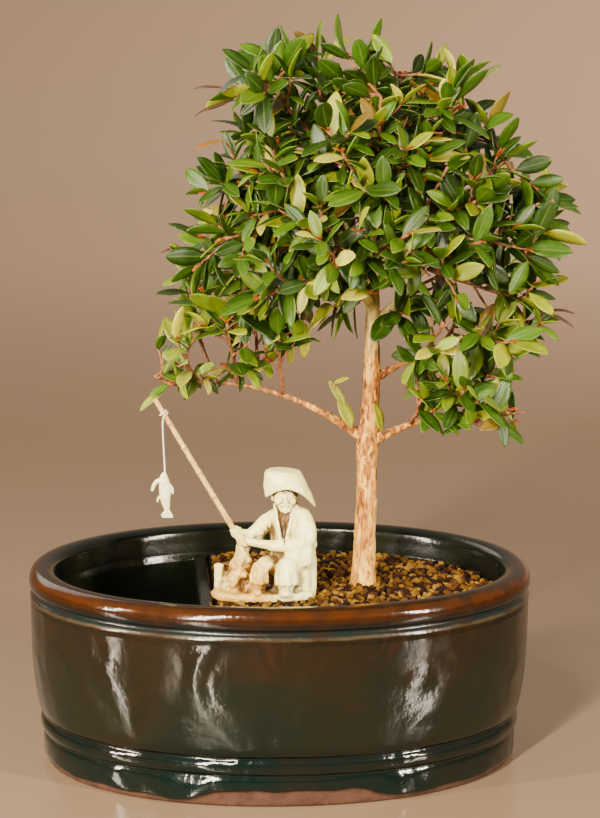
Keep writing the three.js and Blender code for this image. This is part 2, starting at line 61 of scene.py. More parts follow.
def newObject(name, data):
    made = bpy.data.objects.new(name, data)
    bpy.context.scene.collection.objects.link(made)
    return made


# Camera

cameraSetup = {
    "aim": (7.44, 0, 139.8),
    "azimuth": -4.45,  # degrees, 0 looks along +Y
    "elevation": 10.28,
    "distance": 926,
    "roll": 0.38,
    "lens": 103.1,
}


def placeCamera(setup):
    azimuth, elevation = math.radians(setup["azimuth"]), math.radians(setup["elevation"])
    back = Vector((
        math.sin(azimuth) * math.cos(elevation),
        -math.cos(azimuth) * math.cos(elevation),
        math.sin(elevation),
    ))
    level = Vector((math.cos(azimuth), math.sin(azimuth), 0))
    upright = back.cross(level)
    roll = math.radians(setup["roll"])
    right = level * math.cos(roll) + upright * math.sin(roll)
    up = upright * math.cos(roll) - level * math.sin(roll)
    data = bpy.data.cameras.new("photoCamera")
    data.sensor_width, data.lens = 36, setup["lens"]
    data.clip_start, data.clip_end = 0.05, 20
    camera = newObject("photoCamera", data)
    place = Matrix((right, up, back)).transposed().to_4x4()
    place.translation = (Vector(setup["aim"]) + back * setup["distance"]) * mm
    camera.matrix_world = place
    bpy.context.scene.camera = camera


placeCamera(cameraSetup)
print("camera placed")


# Shared helpers for pieces

def linkPiece(name, mesh, material, nodes=()):
    piece = newObject(name, mesh)
    mesh.materials.clear()
    mesh.materials.append(material)
    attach(piece, "root")
    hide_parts(*nodes)
    return piece


def meshOf(bm, name, smooth=True):
    mesh = bpy.data.meshes.new(name)
    bm.to_mesh(mesh)
    bm.free()
    for polygon in mesh.polygons:
        polygon.use_smooth = smooth
    return mesh


def gathered(name, shapes, add, smooth=True, each=40):
    # many small shapes, a few at a time in a mesh of their own, because that stays quick
    whole = bmesh.new()
    for first in range(0, len(shapes), each):
        part = bmesh.new()
        for shape in shapes[first:first + each]:
            add(part, shape)
        mesh = meshOf(part, "part")
        whole.from_mesh(mesh)
        bpy.data.meshes.remove(mesh)
    return meshOf(whole, name, smooth)


def appliedMesh(mesh, name, *modifiers):
    # the mesh with its modifiers applied, each given as its kind and its values
    worker = newObject(name + "Worker", mesh)
    for kind, values in modifiers:
        modifier = worker.modifiers.new(kind, kind)
        for key, value in values.items():
            setattr(modifier, key, value)
    graph = bpy.context.evaluated_depsgraph_get()
    result = bpy.data.meshes.new_from_object(worker.evaluated_get(graph))
    result.name = name
    bpy.data.objects.remove(worker)
    for polygon in result.polygons:
        polygon.use_smooth = True
    return result


def fusedMesh(bm, name, voxel, smoothings):
    # all that is in it grown together to one skin
    return appliedMesh(
        meshOf(bm, name + "Raw"), name, ("REMESH", {"mode": "VOXEL", "voxel_size": voxel * mm}),
        ("SMOOTH", {"factor": 0.5, "iterations": smoothings}),
    )


def colorLayer(bm, name):
    layers = bm.verts.layers.float_color
    return layers.get(name) or layers.new(name)


def loftRings(bm, rings, closed=(True, True), values=None, layer=None):
    # a ring of edges is extruded to each next ring of points, and the ends are filled
    order = bm.verts.layers.int.get("order") or bm.verts.layers.int.new("order")
    if values:
        layer = colorLayer(bm, layer)
    ring = bmesh.ops.create_circle(bm, segments=len(rings[0]), radius=1)["verts"]
    for i, vert in enumerate(ring):
        vert[order] = i
    edges = list(dict.fromkeys(edge for vert in ring for edge in vert.link_edges))  # in the same order each run
    for step, points in enumerate(rings):
        if step:
            if step == 1 and closed[0]:
                bmesh.ops.edgeloop_fill(bm, edges=edges)
            made = bmesh.ops.extrude_edge_only(bm, edges=edges)["geom"]
            ring = [part for part in made if isinstance(part, bmesh.types.BMVert)]
            edges = [part for part in made if isinstance(part, bmesh.types.BMEdge)]
            ringSet = set(ring)
            edges = [edge for edge in edges if all(vert in ringSet for vert in edge.verts)]
        for vert in ring:
            vert.co = points[vert[order]]
            if values:
                vert[layer] = values[step]
    if closed[1]:
        bmesh.ops.edgeloop_fill(bm, edges=edges)


def tubeRings(points, radii, sides, flatten=1.0, start=None):
    # rings round a path, turned as little as possible from each to the next
    last = len(points) - 1
    alongs = [(points[min(i + 1, last)] - points[max(i - 1, 0)]).normalized() for i in range(last + 1)]
    side = start or (Vector((1, 0, 0)) if abs(alongs[0].z) > 0.9 else Vector((0, 0, 1)))
    rings = []
    for point, radius, along in zip(points, radii, alongs):
        side = (side - along * side.dot(along)).normalized()
        other = along.cross(side)
        turns = [2 * math.pi * k / sides for k in range(sides)]
        rings.append([
            point + side * (radius * flatten * math.cos(turn)) + other * (radius * math.sin(turn))
            for turn in turns
        ])
    return rings


def curveAt(grown, share):
    # a point on a limb or a shoot, which is one bend from its start to its end
    rest = 1 - share
    return grown["start"] * (rest * rest) + grown["bend"] * (2 * rest * share) + grown["end"] * (share * share)


def curveFrame(grown, share):
    # along the limb or shoot there, level across it, and square to both
    start, bend, end = grown["start"], grown["bend"], grown["end"]
    along = ((bend - start) * (1 - share) + (end - bend) * share).normalized()
    across = along.cross(Vector((0, 0, 1))).normalized()
    return along, across, across.cross(along)


def newShoot(number, start, end, sag, turn=0.0):
    bend = (start + end) / 2 - Vector((0, 0, sag))
    return {"number": number, "start": start, "bend": bend, "end": end, "turn": turn}


# Shared helpers for materials

def newMaterial(name):
    material = bpy.data.materials.new(name)
    material.use_nodes = True
    tree = material.node_tree
    tree.nodes.clear()
    output = tree.nodes.new("ShaderNodeOutputMaterial")
    shader = tree.nodes.new("ShaderNodeBsdfPrincipled")
    tree.links.new(shader.outputs["BSDF"], output.inputs["Surface"])
    return material, tree, shader


def setSockets(tree, made, inputs):
    # each socket gets a link or a plain value
    for key, value in inputs.items():
        if isinstance(value, bpy.types.NodeSocket):
            tree.links.new(value, made.inputs[key])
        else:
            made.inputs[key].default_value = value


def node(tree, kind, inputs=None, **settings):
    made = tree.nodes.new("ShaderNode" + kind)
    for key, value in settings.items():
        setattr(made, key, value)
    setSockets(tree, made, inputs or {})
    return made


def objectPlace(tree, scale=(1, 1, 1), turn=(0, 0, 0)):
    place = node(tree, "TexCoord").outputs["Object"]
    return node(tree, "Mapping", {"Vector": place, "Scale": scale, "Rotation": turn}).outputs["Vector"]


def noiseOf(tree, place, scale, detail=3.0, roughness=0.55, distortion=0.0):
    values = {"Scale": scale, "Detail": detail, "Roughness": roughness, "Distortion": distortion}
    return node(tree, "TexNoise", {"Vector": place, **values}).outputs["Fac"]


def ramp(tree, factor, stops, interpolation="LINEAR"):
    # each stop is a place with a colour, or with one number for a grey
    made = node(tree, "ValToRGB", {"Fac": factor})
    made.color_ramp.interpolation = interpolation
    elements = made.color_ramp.elements
    while len(elements) < len(stops):
        elements.new(0.5)
    for element, (place, color) in zip(elements, stops):
        element.position = place
        element.color = (*color, 1) if isinstance(color, tuple) else (color, color, color, 1)
    return made.outputs["Color"]


def reckoned(tree, operation, first, second=0.0, clamp=False):
    return node(tree, "Math", {0: first, 1: second}, operation=operation, use_clamp=clamp).outputs[0]


def times(tree, first, second):
    return reckoned(tree, "MULTIPLY", first, second)


def plus(tree, first, second):
    return reckoned(tree, "ADD", first, second)


def minus(tree, first, second, clamp=False):
    return reckoned(tree, "SUBTRACT", first, second, clamp)


def over(tree, first, second):
    return reckoned(tree, "DIVIDE", first, second)


def aboutNothing(tree, value, much):
    # a share from 0 to 1, brought to lie evenly about nothing
    return times(tree, minus(tree, value, 0.5), much)


def blendColors(tree, factor, first, second, kind="MIX"):
    first, second = ((*color, 1) if isinstance(color, tuple) else color for color in (first, second))
    return node(tree, "Mix", {0: factor, 6: first, 7: second}, data_type="RGBA", blend_type=kind).outputs[2]


def attributeParts(tree, name):
    color = node(tree, "Attribute", attribute_name=name).outputs["Color"]
    return node(tree, "SeparateColor", {"Color": color}).outputs


def bump(tree, height, strength, distance, under=None):
    inputs = {"Height": height, "Strength": strength, "Distance": distance}
    if under:
        inputs["Normal"] = under
    return node(tree, "Bump", inputs).outputs["Normal"]


# The fishing line, first of the pieces

lineSetup = {
    "rodButt": (-15.4, -10, 87.1),
    "rodTip": (-50, -10, 146),
    "radius": 0.3,
    "from": 7.4,  # down from the rod's tip
    "turns": 1.25,
    "pitch": 1.1,
    "windRadius": 1.6,
    "low": 116.9,
    "hanging": [
        (-0.5, 0, -0.9), (-0.7, 0, -2), (-0.75, 0, -3.4), (-0.7, 0, -6), (-0.6, 0, -9),
        (-0.45, 0, -12), (-0.3, 0, -15), (-0.15, 0, -18), (0, 0, -21),
    ],
}
rodButt, rodTip = Vector(lineSetup["rodButt"]), Vector(lineSetup["rodTip"])


def lineRoute(setup):
    down = (rodButt - rodTip).normalized()
    front = Vector((0, -1, 0))
    under = down.cross(front).normalized()
    points = []
    for k in range(-round(setup["turns"] * 12), 1):
        turn = 2 * math.pi * k / 12
        points.append(
            rodTip + down * (setup["from"] + setup["pitch"] * k / 12)
            + front * (setup["windRadius"] * math.cos(turn)) + under * (setup["windRadius"] * math.sin(turn))
        )
    left = points[-1]
    points += [left + Vector(drop) for drop in setup["hanging"]]
    points.append(Vector((left.x, left.y, setup["low"])))
    return points


def smoothRoute(points, steps=4):
    # a smooth curve through the points, with a few steps between each two
    route = []
    for i in range(len(points) - 1):
        a, b = points[max(i - 1, 0)], points[i]
        c, d = points[i + 1], points[min(i + 2, len(points) - 1)]
        for s in range(steps):
            t = s / steps
            route.append(0.5 * (
                2 * b + (c - a) * t + (2 * a - 5 * b + 4 * c - d) * t ** 2 + (3 * b - a - 3 * c + d) * t ** 3
            ))
    return route + [points[-1]]


linePoints = lineRoute(lineSetup)


def makeThreadMaterial():
    material, tree, shader = newMaterial("thread")
    place = objectPlace(tree, scale=(1, 1, 0.35))
    fibre = noiseOf(tree, place, 4200, 2)
    color = ramp(tree, fibre, [(0.3, (0.62, 0.52, 0.4)), (0.7, (0.9, 0.84, 0.74))])
    setSockets(tree, shader, {
        "Base Color": color,
        "Normal": bump(tree, fibre, 0.6, 0.0001),
        "Roughness": 0.75,
    })
    return material


def makeLine(setup):
    route = smoothRoute(linePoints)
    data = bpy.data.curves.new("fishingLine", "CURVE")
    data.dimensions, data.bevel_depth, data.bevel_resolution = "3D", setup["radius"] * mm, 3
    data.use_fill_caps = True
    spline = data.splines.new("POLY")
    spline.points.add(len(route) - 1)
    for point, place in zip(spline.points, route):
        point.co = (*(place * mm), 1)
    line = newObject("fishingLine", data)
    data.materials.append(makeThreadMaterial())
    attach(line, "root")
    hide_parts("fishing_line")
    length = sum((b - a).length for a, b in zip(route, route[1:])) * mm
    return line, length


fishingLine, lineLength = makeLine(lineSetup)
print("line made,", round(lineLength * 1000, 1), "mm")


# The pot

potSetup = {
    "length": 200,
    "depth": 152,
    "height": 78,
    "roundness": 2.1,
    "segments": 144,
    "innerInset": 9.4,
    "feetAt": 45,
    "footHalfWidth": 15,
    "footBulge": 1.3,
    "basinWall": (-33, -27, 66),  # from x, to x, top
    "drain": (46, 0, 6),  # place and radius
    # where the hazy glaze of the sides has run glossy: x, z, half sizes and slant
    "runs": [(-64, 46, 11, 20, 0.4), (-31, 52, 11, 15, 0.4), (47, 42, 9, 15, -0.3)],
}


def ovalPoint(turn, inset, height):
    def signed(v):
        return math.copysign(abs(v) ** (2 / potSetup["roundness"]), v)
    along = signed(math.cos(turn))
    here = potSetup["length"] / 2 * along
    inset = inset(here) if callable(inset) else inset
    height = height(here) if callable(height) else height
    return Vector((here - inset * along, (potSetup["depth"] / 2 - inset) * signed(math.sin(turn)), height)) * mm


def ovalRing(inset, height, segments=None):
    count = segments or potSetup["segments"]
    return [ovalPoint(2 * math.pi * i / count, inset, height) for i in range(count)]


def footShare(x):
    off = abs(abs(x) - potSetup["feetAt"]) / potSetup["footHalfWidth"]
    return math.cos(off * math.pi / 2) if off < 1 else 0


def glazeEdge(x):
    high = 6.4 if abs(x) < potSetup["feetAt"] else 2.6
    return mixed(high, 2.2, footShare(x)) + 0.35 * math.sin(x * 0.31) + 0.2 * math.sin(x * 0.83 + 1)


def makeGlazeMaterial():
    material, tree, shader = newMaterial("potGlaze")
    place = objectPlace(tree)
    x, _, z = node(tree, "SeparateXYZ", {"Vector": place}).outputs
    level = over(tree, z, potSetup["height"] * mm)
    cloud = noiseOf(tree, place, 26, 4, 0.6, 0.6)
    fine = noiseOf(tree, place, 160, 4, 0.6)
    runs = noiseOf(tree, objectPlace(tree, scale=(1, 1, 0.12)), 95, 3, 0.5, 0.3)
    shifted = plus(tree, level, aboutNothing(tree, cloud, 0.09))
    body = ramp(tree, shifted, [
        (0.0, (0.001, 0.007, 0.0065)),
        (0.16, (0.001, 0.0058, 0.0054)),
        (0.25, (0.001, 0.0038, 0.0044)),
        (0.32, (0.0045, 0.0075, 0.0045)),
        (0.6, (0.006, 0.0066, 0.0034)),
        (0.78, (0.0088, 0.004, 0.0018)),
        (0.87, (0.0075, 0.0045, 0.002)),
        (1.0, (0.0075, 0.0045, 0.002)),
    ])
    mottle = ramp(tree, cloud, [(0.4, (0.0016, 0.0072, 0.0052)), (0.62, (0.0095, 0.0078, 0.0034))])
    body = blendColors(tree, 0.42, body, mottle)
    patches = ramp(tree, noiseOf(tree, place, 55, 5, 0.65, 0.8), [(0.55, 0), (0.7, 1)])
    high = ramp(tree, level, [(0.35, 0.1), (0.75, 1)])
    patches = times(tree, patches, high)
    body = blendColors(tree, times(tree, patches, 0.6), body, (0.026, 0.0075, 0.003))
    wander = aboutNothing(tree, fine, 0.026)
    lip = ramp(tree, plus(tree, level, wander), [
        (0.842, (0.011, 0.009, 0.005)),
        (0.856, (0.05, 0.036, 0.019)),
        (0.868, (0.006, 0.011, 0.01)),
        (0.9, (0.002, 0.0065, 0.0085)),
        (0.922, (0.005, 0.003, 0.002)),
        (0.942, (0.022, 0.0064, 0.0016)),
        (0.965, (0.047, 0.0125, 0.0014)),
        (0.985, (0.04, 0.0118, 0.0018)),
        (0.996, (0.02, 0.008, 0.003)),
        (1.0, (0.01, 0.005, 0.0025)),
    ])
    streaks = times(tree, ramp(tree, runs, [(0.42, 0), (0.64, 1)]), 0.7)
    lip = blendColors(tree, streaks, lip, (0.016, 0.0065, 0.003))
    color = blendColors(tree, ramp(tree, level, [(0.84, 0), (0.85, 1)]), body, lip)
    zones = attributeParts(tree, "zones")
    inside = ramp(tree, cloud, [(0.35, (0.0015, 0.003, 0.0025)), (0.65, (0.006, 0.007, 0.003))])
    within = ramp(tree, zones[1], [(0.05, 0), (0.4, 1)])
    color = blendColors(tree, within, color, inside)
    clay = noiseOf(tree, place, 240, 4)
    clay = ramp(tree, clay, [(0.3, (0.038, 0.0112, 0.0044)), (0.7, (0.072, 0.031, 0.0155))])
    bare = ramp(tree, zones[0], [(0.42, 0), (0.56, 1)])
    color = blendColors(tree, bare, color, clay)
    gloss = plus(tree, times(tree, fine, 0.12), 0.03)
    onBody = ramp(tree, level, [(0.82, 1), (0.86, 0.1)])
    waves = bump(tree, times(tree, noiseOf(tree, place, 38, 1, 0.5, 0.9), onBody), 0.3, 0.0045)
    glossy = 0.0
    for runX, runZ, halfWide, halfTall, slant in potSetup["runs"]:
        dz = over(tree, minus(tree, z, runZ * mm), halfTall * mm)
        dx = over(tree, minus(tree, x, runX * mm), halfWide * mm)
        dx = plus(tree, dx, times(tree, dz, slant))
        far = plus(tree, reckoned(tree, "POWER", dx, 2), reckoned(tree, "POWER", dz, 2))
        inRun = ramp(tree, minus(tree, 1, far), [(0, 0), (0.6, 1)], "EASE")
        glossy = plus(tree, inRun, glossy)
    ledge = ramp(tree, level, [(0.845, 0), (0.86, 1), (0.9, 1), (0.93, 0.3)])
    sides = ramp(tree, level, [(0.24, 0), (0.3, 1), (0.8, 1), (0.85, 0)])
    haze = times(tree, sides, minus(tree, 1, glossy, True))
    rough = gloss
    for where, more in ((haze, 0.11), (ledge, 0.13), (within, 0.05), (bare, 0.65)):
        rough = plus(tree, rough, times(tree, where, more))
    fineRuns = noiseOf(tree, objectPlace(tree, scale=(1, 1, 0.7)), 150, 1, 0.5)
    waves = bump(tree, times(tree, fineRuns, sides), 0.3, 0.0004, waves)
    skin = bump(tree, noiseOf(tree, place, 520, 2), 0.14, 0.0006, waves)
    grit = times(tree, noiseOf(tree, place, 1400, 3), bare)
    setSockets(tree, shader, {
        "Base Color": color,
        "Roughness": rough,
        "Normal": bump(tree, grit, 0.5, 0.0004, skin),
        "Specular IOR Level": 0.4,
    })
    return material


def makePot(setup):
    def apron(x):
        return 4.9 - setup["footBulge"] * footShare(x)

    bare, glazed, inner = (1, 0, 0, 1), (0, 0, 0, 1), (0, 1, 0, 1)
    profile = [
        # the zone, then how far in from the oval and how high each ring of it is
        (bare, [(60, 0), (24, 0), (8, 0), (6.8, 0.2), (6.4, 1.0), (6.25, lambda x: glazeEdge(x) - 0.4)]),
        ((0.5, 0, 0, 1), [(6.2, glazeEdge)]),
        (glazed, [
            (lambda x: apron(x) + 0.35, lambda x: glazeEdge(x) + 0.15),
            (apron, lambda x: glazeEdge(x) + 0.9),
            (lambda x: mixed(apron(x), 4.9, 0.5), lambda x: mixed(glazeEdge(x), 10.6, 0.55)),
            (4.9, 10.4), (5.5, 11.7), (5.7, 12.4), (5.1, 13), (4.1, 14), (3.9, 15.8), (4.1, 17.6), (5.0, 18.6),
            (5.3, 19.3), (4.7, 20), (3.8, 21.2), (2.6, 26), (1.5, 34), (0.9, 42), (0.7, 50), (0.6, 58),
            (0.6, 65), (0.35, 66.2), (0.5, 67.4), (1.5, 68.2), (1.9, 69), (1.4, 69.8), (0.4, 70.4), (0, 71.6),
            (0, 73.4), (0.3, 75.2), (1.5, 76.9),
        ]),
        ((0, 0.08, 0, 1), [(3.4, 77.8)]), ((0, 0.22, 0, 1), [(5.6, 78)]), ((0, 0.36, 0, 1), [(7.8, 77.7)]),
        (inner, [
            (9.6, 76.9), (10.5, 75.6), (10.8, 73.8), (11.1, 71.4), (11.6, 68), (11.7, 62), (10.6, 42), (10, 24),
            (10.2, 16), (11.2, 12.6), (13.5, 11.3), (18, 11), (40, 11), (62, 11),
        ]),
    ]
    bm = bmesh.new()
    rings = [ovalRing(inset, height) for _, part in profile for inset, height in part]
    loftRings(bm, rings, values=[zone for zone, part in profile for _ in part], layer="zones")
    bmesh.ops.recalc_face_normals(bm, faces=bm.faces)
    skin = meshOf(bm, "potSkin")

    left, right, top = setup["basinWall"]
    bm = bmesh.new()
    zones = colorLayer(bm, "zones")
    low = 8  # inside the floor
    deep = 2 * (setup["depth"] / 2 - (setup["innerInset"] - 3)) * 0.955
    cube = bmesh.ops.create_cube(bm, size=1)["verts"]
    bmesh.ops.scale(bm, vec=Vector((right - left, deep, top - low)) * mm, verts=cube)
    bmesh.ops.translate(bm, vec=Vector(((left + right) / 2, 0, (top + low) / 2)) * mm, verts=cube)
    bmesh.ops.bevel(bm, geom=bm.edges[:], offset=2.2 * mm, segments=4, profile=0.5, affect="EDGES", material=-1)
    for vert in bm.verts:
        vert[zones] = inner
    wall = meshOf(bm, "basinWall")

    bm = bmesh.new()
    x, y, radius = setup["drain"]
    bmesh.ops.create_cone(
        bm, cap_ends=True, segments=40, radius1=radius * mm, radius2=radius * mm, depth=40 * mm,
        matrix=Matrix.Translation(Vector((x, y, 0)) * mm),
    )
    plug = newObject("drainCutter", meshOf(bm, "drainCutter"))
    smooth = ("SUBSURF", {"levels": 1, "render_levels": 1})
    pierce = ("BOOLEAN", {"operation": "DIFFERENCE", "object": plug, "solver": "EXACT"})
    skin = appliedMesh(skin, "potSkin", smooth, pierce)
    bpy.data.objects.remove(plug)
    bm = bmesh.new()
    bm.from_mesh(skin)
    bm.from_mesh(wall)
    return linkPiece("glazedPot", meshOf(bm, "glazedPot"), makeGlazeMaterial(), ["pot"])


pot = makePot(potSetup)
print("pot made,", len(pot.data.polygons), "faces")


# The soil

soilSetup = {
    "level": 66.2,
    "spacing": 2.75,
    "grain": (1.15, 2.1),  # smallest and largest radius
    "layers": (-2.2, -0.4),  # middle of each layer of grains, from the level
    "inset": 11.2,
    "fromX": -26.6,
}


def insideOval(x, y, inset):
    power = potSetup["roundness"]
    a, b = potSetup["length"] / 2 - inset, potSetup["depth"] / 2 - inset
    return abs(x / a) ** power + abs(y / b) ** power < 1


def makeSoilMaterial():
    material, tree, shader = newMaterial("soilGrains")
    place = objectPlace(tree)
    tone = attributeParts(tree, "grainToneAndShade")
    speckle = noiseOf(tree, place, 900, 4, 0.6)
    shade = plus(tree, tone[0], aboutNothing(tree, speckle, 0.35))
    color = ramp(tree, shade, [
        (0.0, (0.004, 0.0012, 0.0005)),
        (0.3, (0.018, 0.0045, 0.0008)),
        (0.52, (0.07, 0.025, 0.002)),
        (0.78, (0.14, 0.064, 0.005)),
        (1.0, (0.25, 0.14, 0.018)),
    ])
    setSockets(tree, shader, {
        "Base Color": color,
        "Normal": bump(tree, speckle, 0.55, 0.0007),
        "Roughness": 0.92,
        "Specular IOR Level": 0.2,
    })
    return material


def soilGrains(setup):
    grains = []
    for layer, depth in enumerate(setup["layers"]):
        for row in range(-28, 29):
            for column in range(-14, 40):
                key = (row, column, layer)
                x = (column + 0.5 * (row % 2) + 0.5 * layer + 0.55 * (draw(*key, 1) - 0.5)) * setup["spacing"]
                y = (row + 0.55 * (draw(*key, 2) - 0.5)) * setup["spacing"] * 0.87
                radius = mixed(*setup["grain"], draw(*key, 3) ** 1.3)
                if x > setup["fromX"] + radius and insideOval(x, y, setup["inset"] + radius * 0.9):
                    z = setup["level"] + depth + 1.1 * (draw(*key, 4) - 0.5)
                    grains.append((key, Vector((x, y, z)), radius))
    return grains


def addGrain(bm, grain):
    key, middle, radius = grain
    tones = colorLayer(bm, "grainToneAndShade")
    turn = Matrix.Rotation(6.28 * draw(*key, 5), 4, "Z") @ Matrix.Rotation(3.1 * draw(*key, 6), 4, "X")
    widths = (radius, radius * mixed(0.7, 1, draw(*key, 7)), radius * mixed(0.65, 0.95, draw(*key, 8)), 1)
    place = Matrix.Translation(middle * mm) @ turn @ Matrix.Diagonal(widths) @ Matrix.Scale(mm, 4)
    lump = bmesh.ops.create_icosphere(bm, subdivisions=1, radius=1, matrix=place)["verts"]
    # grains of the lower layer are darkened: painted shade in the gaps between the top grains
    tone = mixed(0.1, 1.0, draw(*key, 9)) * (0.16 if key[2] == 0 else 1)
    for corner, vert in enumerate(lump):
        vert.co += Vector([(draw(*key, corner, axis) - 0.5) * radius * 0.34 * mm for axis in range(3)])
        vert[tones] = (tone, 0, 0, 1)


def makeSoil(setup):
    grains = soilGrains(setup)
    loose = gathered("soilGrains", grains, addGrain, smooth=False)
    print("soil grains:", len(grains))
    bm = bmesh.new()
    tones = colorLayer(bm, "grainToneAndShade")
    top = setup["level"] - 2.6
    sides = ((12.9, 11.6), (9.8, 24), (9.5, top), (30, top + 0.2))
    loftRings(bm, [ovalRing(inset, height, 96) for inset, height in sides])
    made = bmesh.ops.bisect_plane(
        bm, geom=bm.verts[:] + bm.edges[:] + bm.faces[:], plane_co=Vector((setup["fromX"] * mm, 0, 0)),
        plane_no=(-1, 0, 0), clear_outer=True,
    )["geom_cut"]
    bmesh.ops.edgeloop_fill(bm, edges=[part for part in made if isinstance(part, bmesh.types.BMEdge)])
    bmesh.ops.recalc_face_normals(bm, faces=bm.faces)
    # the filled body under the grains is painted near black: painted shade between the grains
    for vert in bm.verts:
        vert[tones] = (0.05, 0, 0, 1)
    bm.from_mesh(loose)
    return linkPiece("soilGrains", meshOf(bm, "soilGrains", smooth=False), makeSoilMaterial(), ["soil"])


soil = makeSoil(soilSetup)
print("soil made,", len(soil.data.polygons), "faces")


# The wood

treeSetup = {
    "trunk": [
        (33.6, 9, 44), (34.2, 9, 67), (35.1, 9, 100), (35.6, 9, 126),
        (36.8, 9, 150), (36.8, 9, 182), (35.5, 9.6, 206), (36.4, 8, 232),
    ],
    "soil": 67,
    "baseRadius": 4.5,
    "topRadius": 1.5,
    "crownMiddle": (34, 8, 212),
    "halfDepth": 62,
    # how far the crown's outline is from its middle, every 20 degrees
    "reach": [82, 74, 67, 75, 70, 76, 82, 77, 70, 72, 85, 88, 60, 40, 40, 92, 87, 78],
    "crownLimbs": 9,
    "crownSprays": 36,
    "voxel": 0.42,
    "flake": 0.42,  # height of the bark's flakes
    "heart": (36, 9),  # about where the trunk is
    "lowLimbs": [
        {
            "name": "left", "from": 125, "bend": (-2, 4, 153.5), "end": (-40, 3, 150), "radius": 1.7,
            "sprays": [
                (0.1, (19, 3, 153)), (0.46, (-2, -12, 171)), (0.58, (-10, 16, 176)), (0.7, (-22, -12, 176)),
                (0.81, (-34, 14, 174)), (0.91, (-41, -9, 168)), (1, (-50, 4, 153)),
            ],
        },
        {
            "name": "right", "from": 123.5, "bend": (60, 3, 140), "end": (78, 2, 133), "radius": 1.6,
            "sprays": [
                (0.36, (54, -14, 146)), (0.52, (66, 15, 150)), (0.66, (70, -18, 150)), (0.8, (84, 10, 152)),
                (0.91, (88, -14, 141)), (1, (89, 6, 135)),
            ],
        },
        {
            "name": "right_upper", "from": 150, "bend": (56, 12, 160), "end": (80, 8, 170), "radius": 1.4,
            "sprays": [
                (0.5, (62, -14, 176)), (0.68, (76, 28, 176)), (0.86, (88, -12, 168)), (1, (99, 12, 172)),
            ],
        },
    ],
}


def onTrunk(z):
    line = treeSetup["trunk"]
    k = next((i for i, p in enumerate(line) if p[2] >= z), 1) or 1
    low, high = Vector(line[k - 1]), Vector(line[k])
    return low.lerp(high, (z - low.z) / (high.z - low.z))


def trunkRadius(z):
    share = clamped((z - treeSetup["soil"]) / (treeSetup["trunk"][-1][2] - treeSetup["soil"]))
    flare = 0.9 * math.exp(-max(z - treeSetup["soil"], 0) / 5)
    fork = 0.7 * math.exp(-(((z - 124) / 9) ** 2))
    return mixed(treeSetup["baseRadius"], treeSetup["topRadius"], share ** 1.25) + flare + fork


def crownPoint(direction, share, inside=0.0):
    reach = treeSetup["reach"]
    turn = (math.degrees(math.atan2(direction.z, direction.x)) + 360) % 360
    k = int(turn / 20)
    front = mixed(reach[k], reach[(k + 1) % len(reach)], turn / 20 - k)
    across = math.hypot(direction.x, direction.z) / front
    far = 1 / math.hypot(across, direction.y / treeSetup["halfDepth"])
    return Vector(treeSetup["crownMiddle"]) + direction * (share * far - inside)


def evenDirection(k, count, lowest, turnOn=0.0):
    rise = mixed(1, lowest, (k + 0.5) / count)
    turn = math.pi * (3 - math.sqrt(5)) * k + turnOn
    flat = math.sqrt(1 - rise * rise)
    return Vector((flat * math.cos(turn), flat * math.sin(turn), rise))


def listLimbs():
    limbs = []
    for low in treeSetup["lowLimbs"]:
        limbs.append({
            **low, "start": onTrunk(low["from"]), "bend": Vector(low["bend"]), "end": Vector(low["end"]),
            "sprays": [{"at": at, "end": Vector(end)} for at, end in low["sprays"]],
        })
    count = treeSetup["crownLimbs"]
    for k in range(count):
        share = k / (count - 1)
        direction = evenDirection(k, count, -0.2)
        start, end = onTrunk(mixed(228, 172, share)), crownPoint(direction, 0.5)
        bend = start.lerp(end, 0.5) + Vector((0, 0, -4 * share))
        limbs.append({
            "name": "crown", "direction": direction, "start": start, "bend": bend, "end": end,
            "radius": mixed(1.2, 1.8, share), "sprays": [],
        })
    return limbs


def shareOutSprays(limbs):
    # the crown's sprays go to the limb that points most their way
    crown = [limb for limb in limbs if limb["name"] == "crown"]
    for k in range(treeSetup["crownSprays"]):
        direction = evenDirection(k, treeSetup["crownSprays"], -0.5)
        limb = max(crown, key=lambda other: other["direction"].dot(direction))
        end = crownPoint(direction, 1, mixed(11, 17, draw(k, 8)))
        limb["sprays"].append({"end": end, "nearness": limb["direction"].dot(direction)})
    for limb in crown:
        limb["sprays"].sort(key=lambda spray: spray["nearness"])
        for i, spray in enumerate(limb["sprays"]):
            spray["at"] = mixed(0.5, 1, (i + 1) / len(limb["sprays"]))


def listSprays(limbs):
    shareOutSprays(limbs)
    sprays, counts = [], {}
    for limb in limbs:
        for spray in limb["sprays"]:
            number = len(sprays)
            counts[limb["name"]] = counts.get(limb["name"], 0) + 1
            sag = mixed(0.5, 2.5, draw(number, 3))
            made = newShoot(number, curveAt(limb, spray["at"]), spray["end"], sag, 360 * draw(number, 4))
            sprays.append({**made, "name": f"{limb['name']}_spray_{counts[limb['name']]}"})
    return sprays


limbs = listLimbs()
sprays = listSprays(limbs)


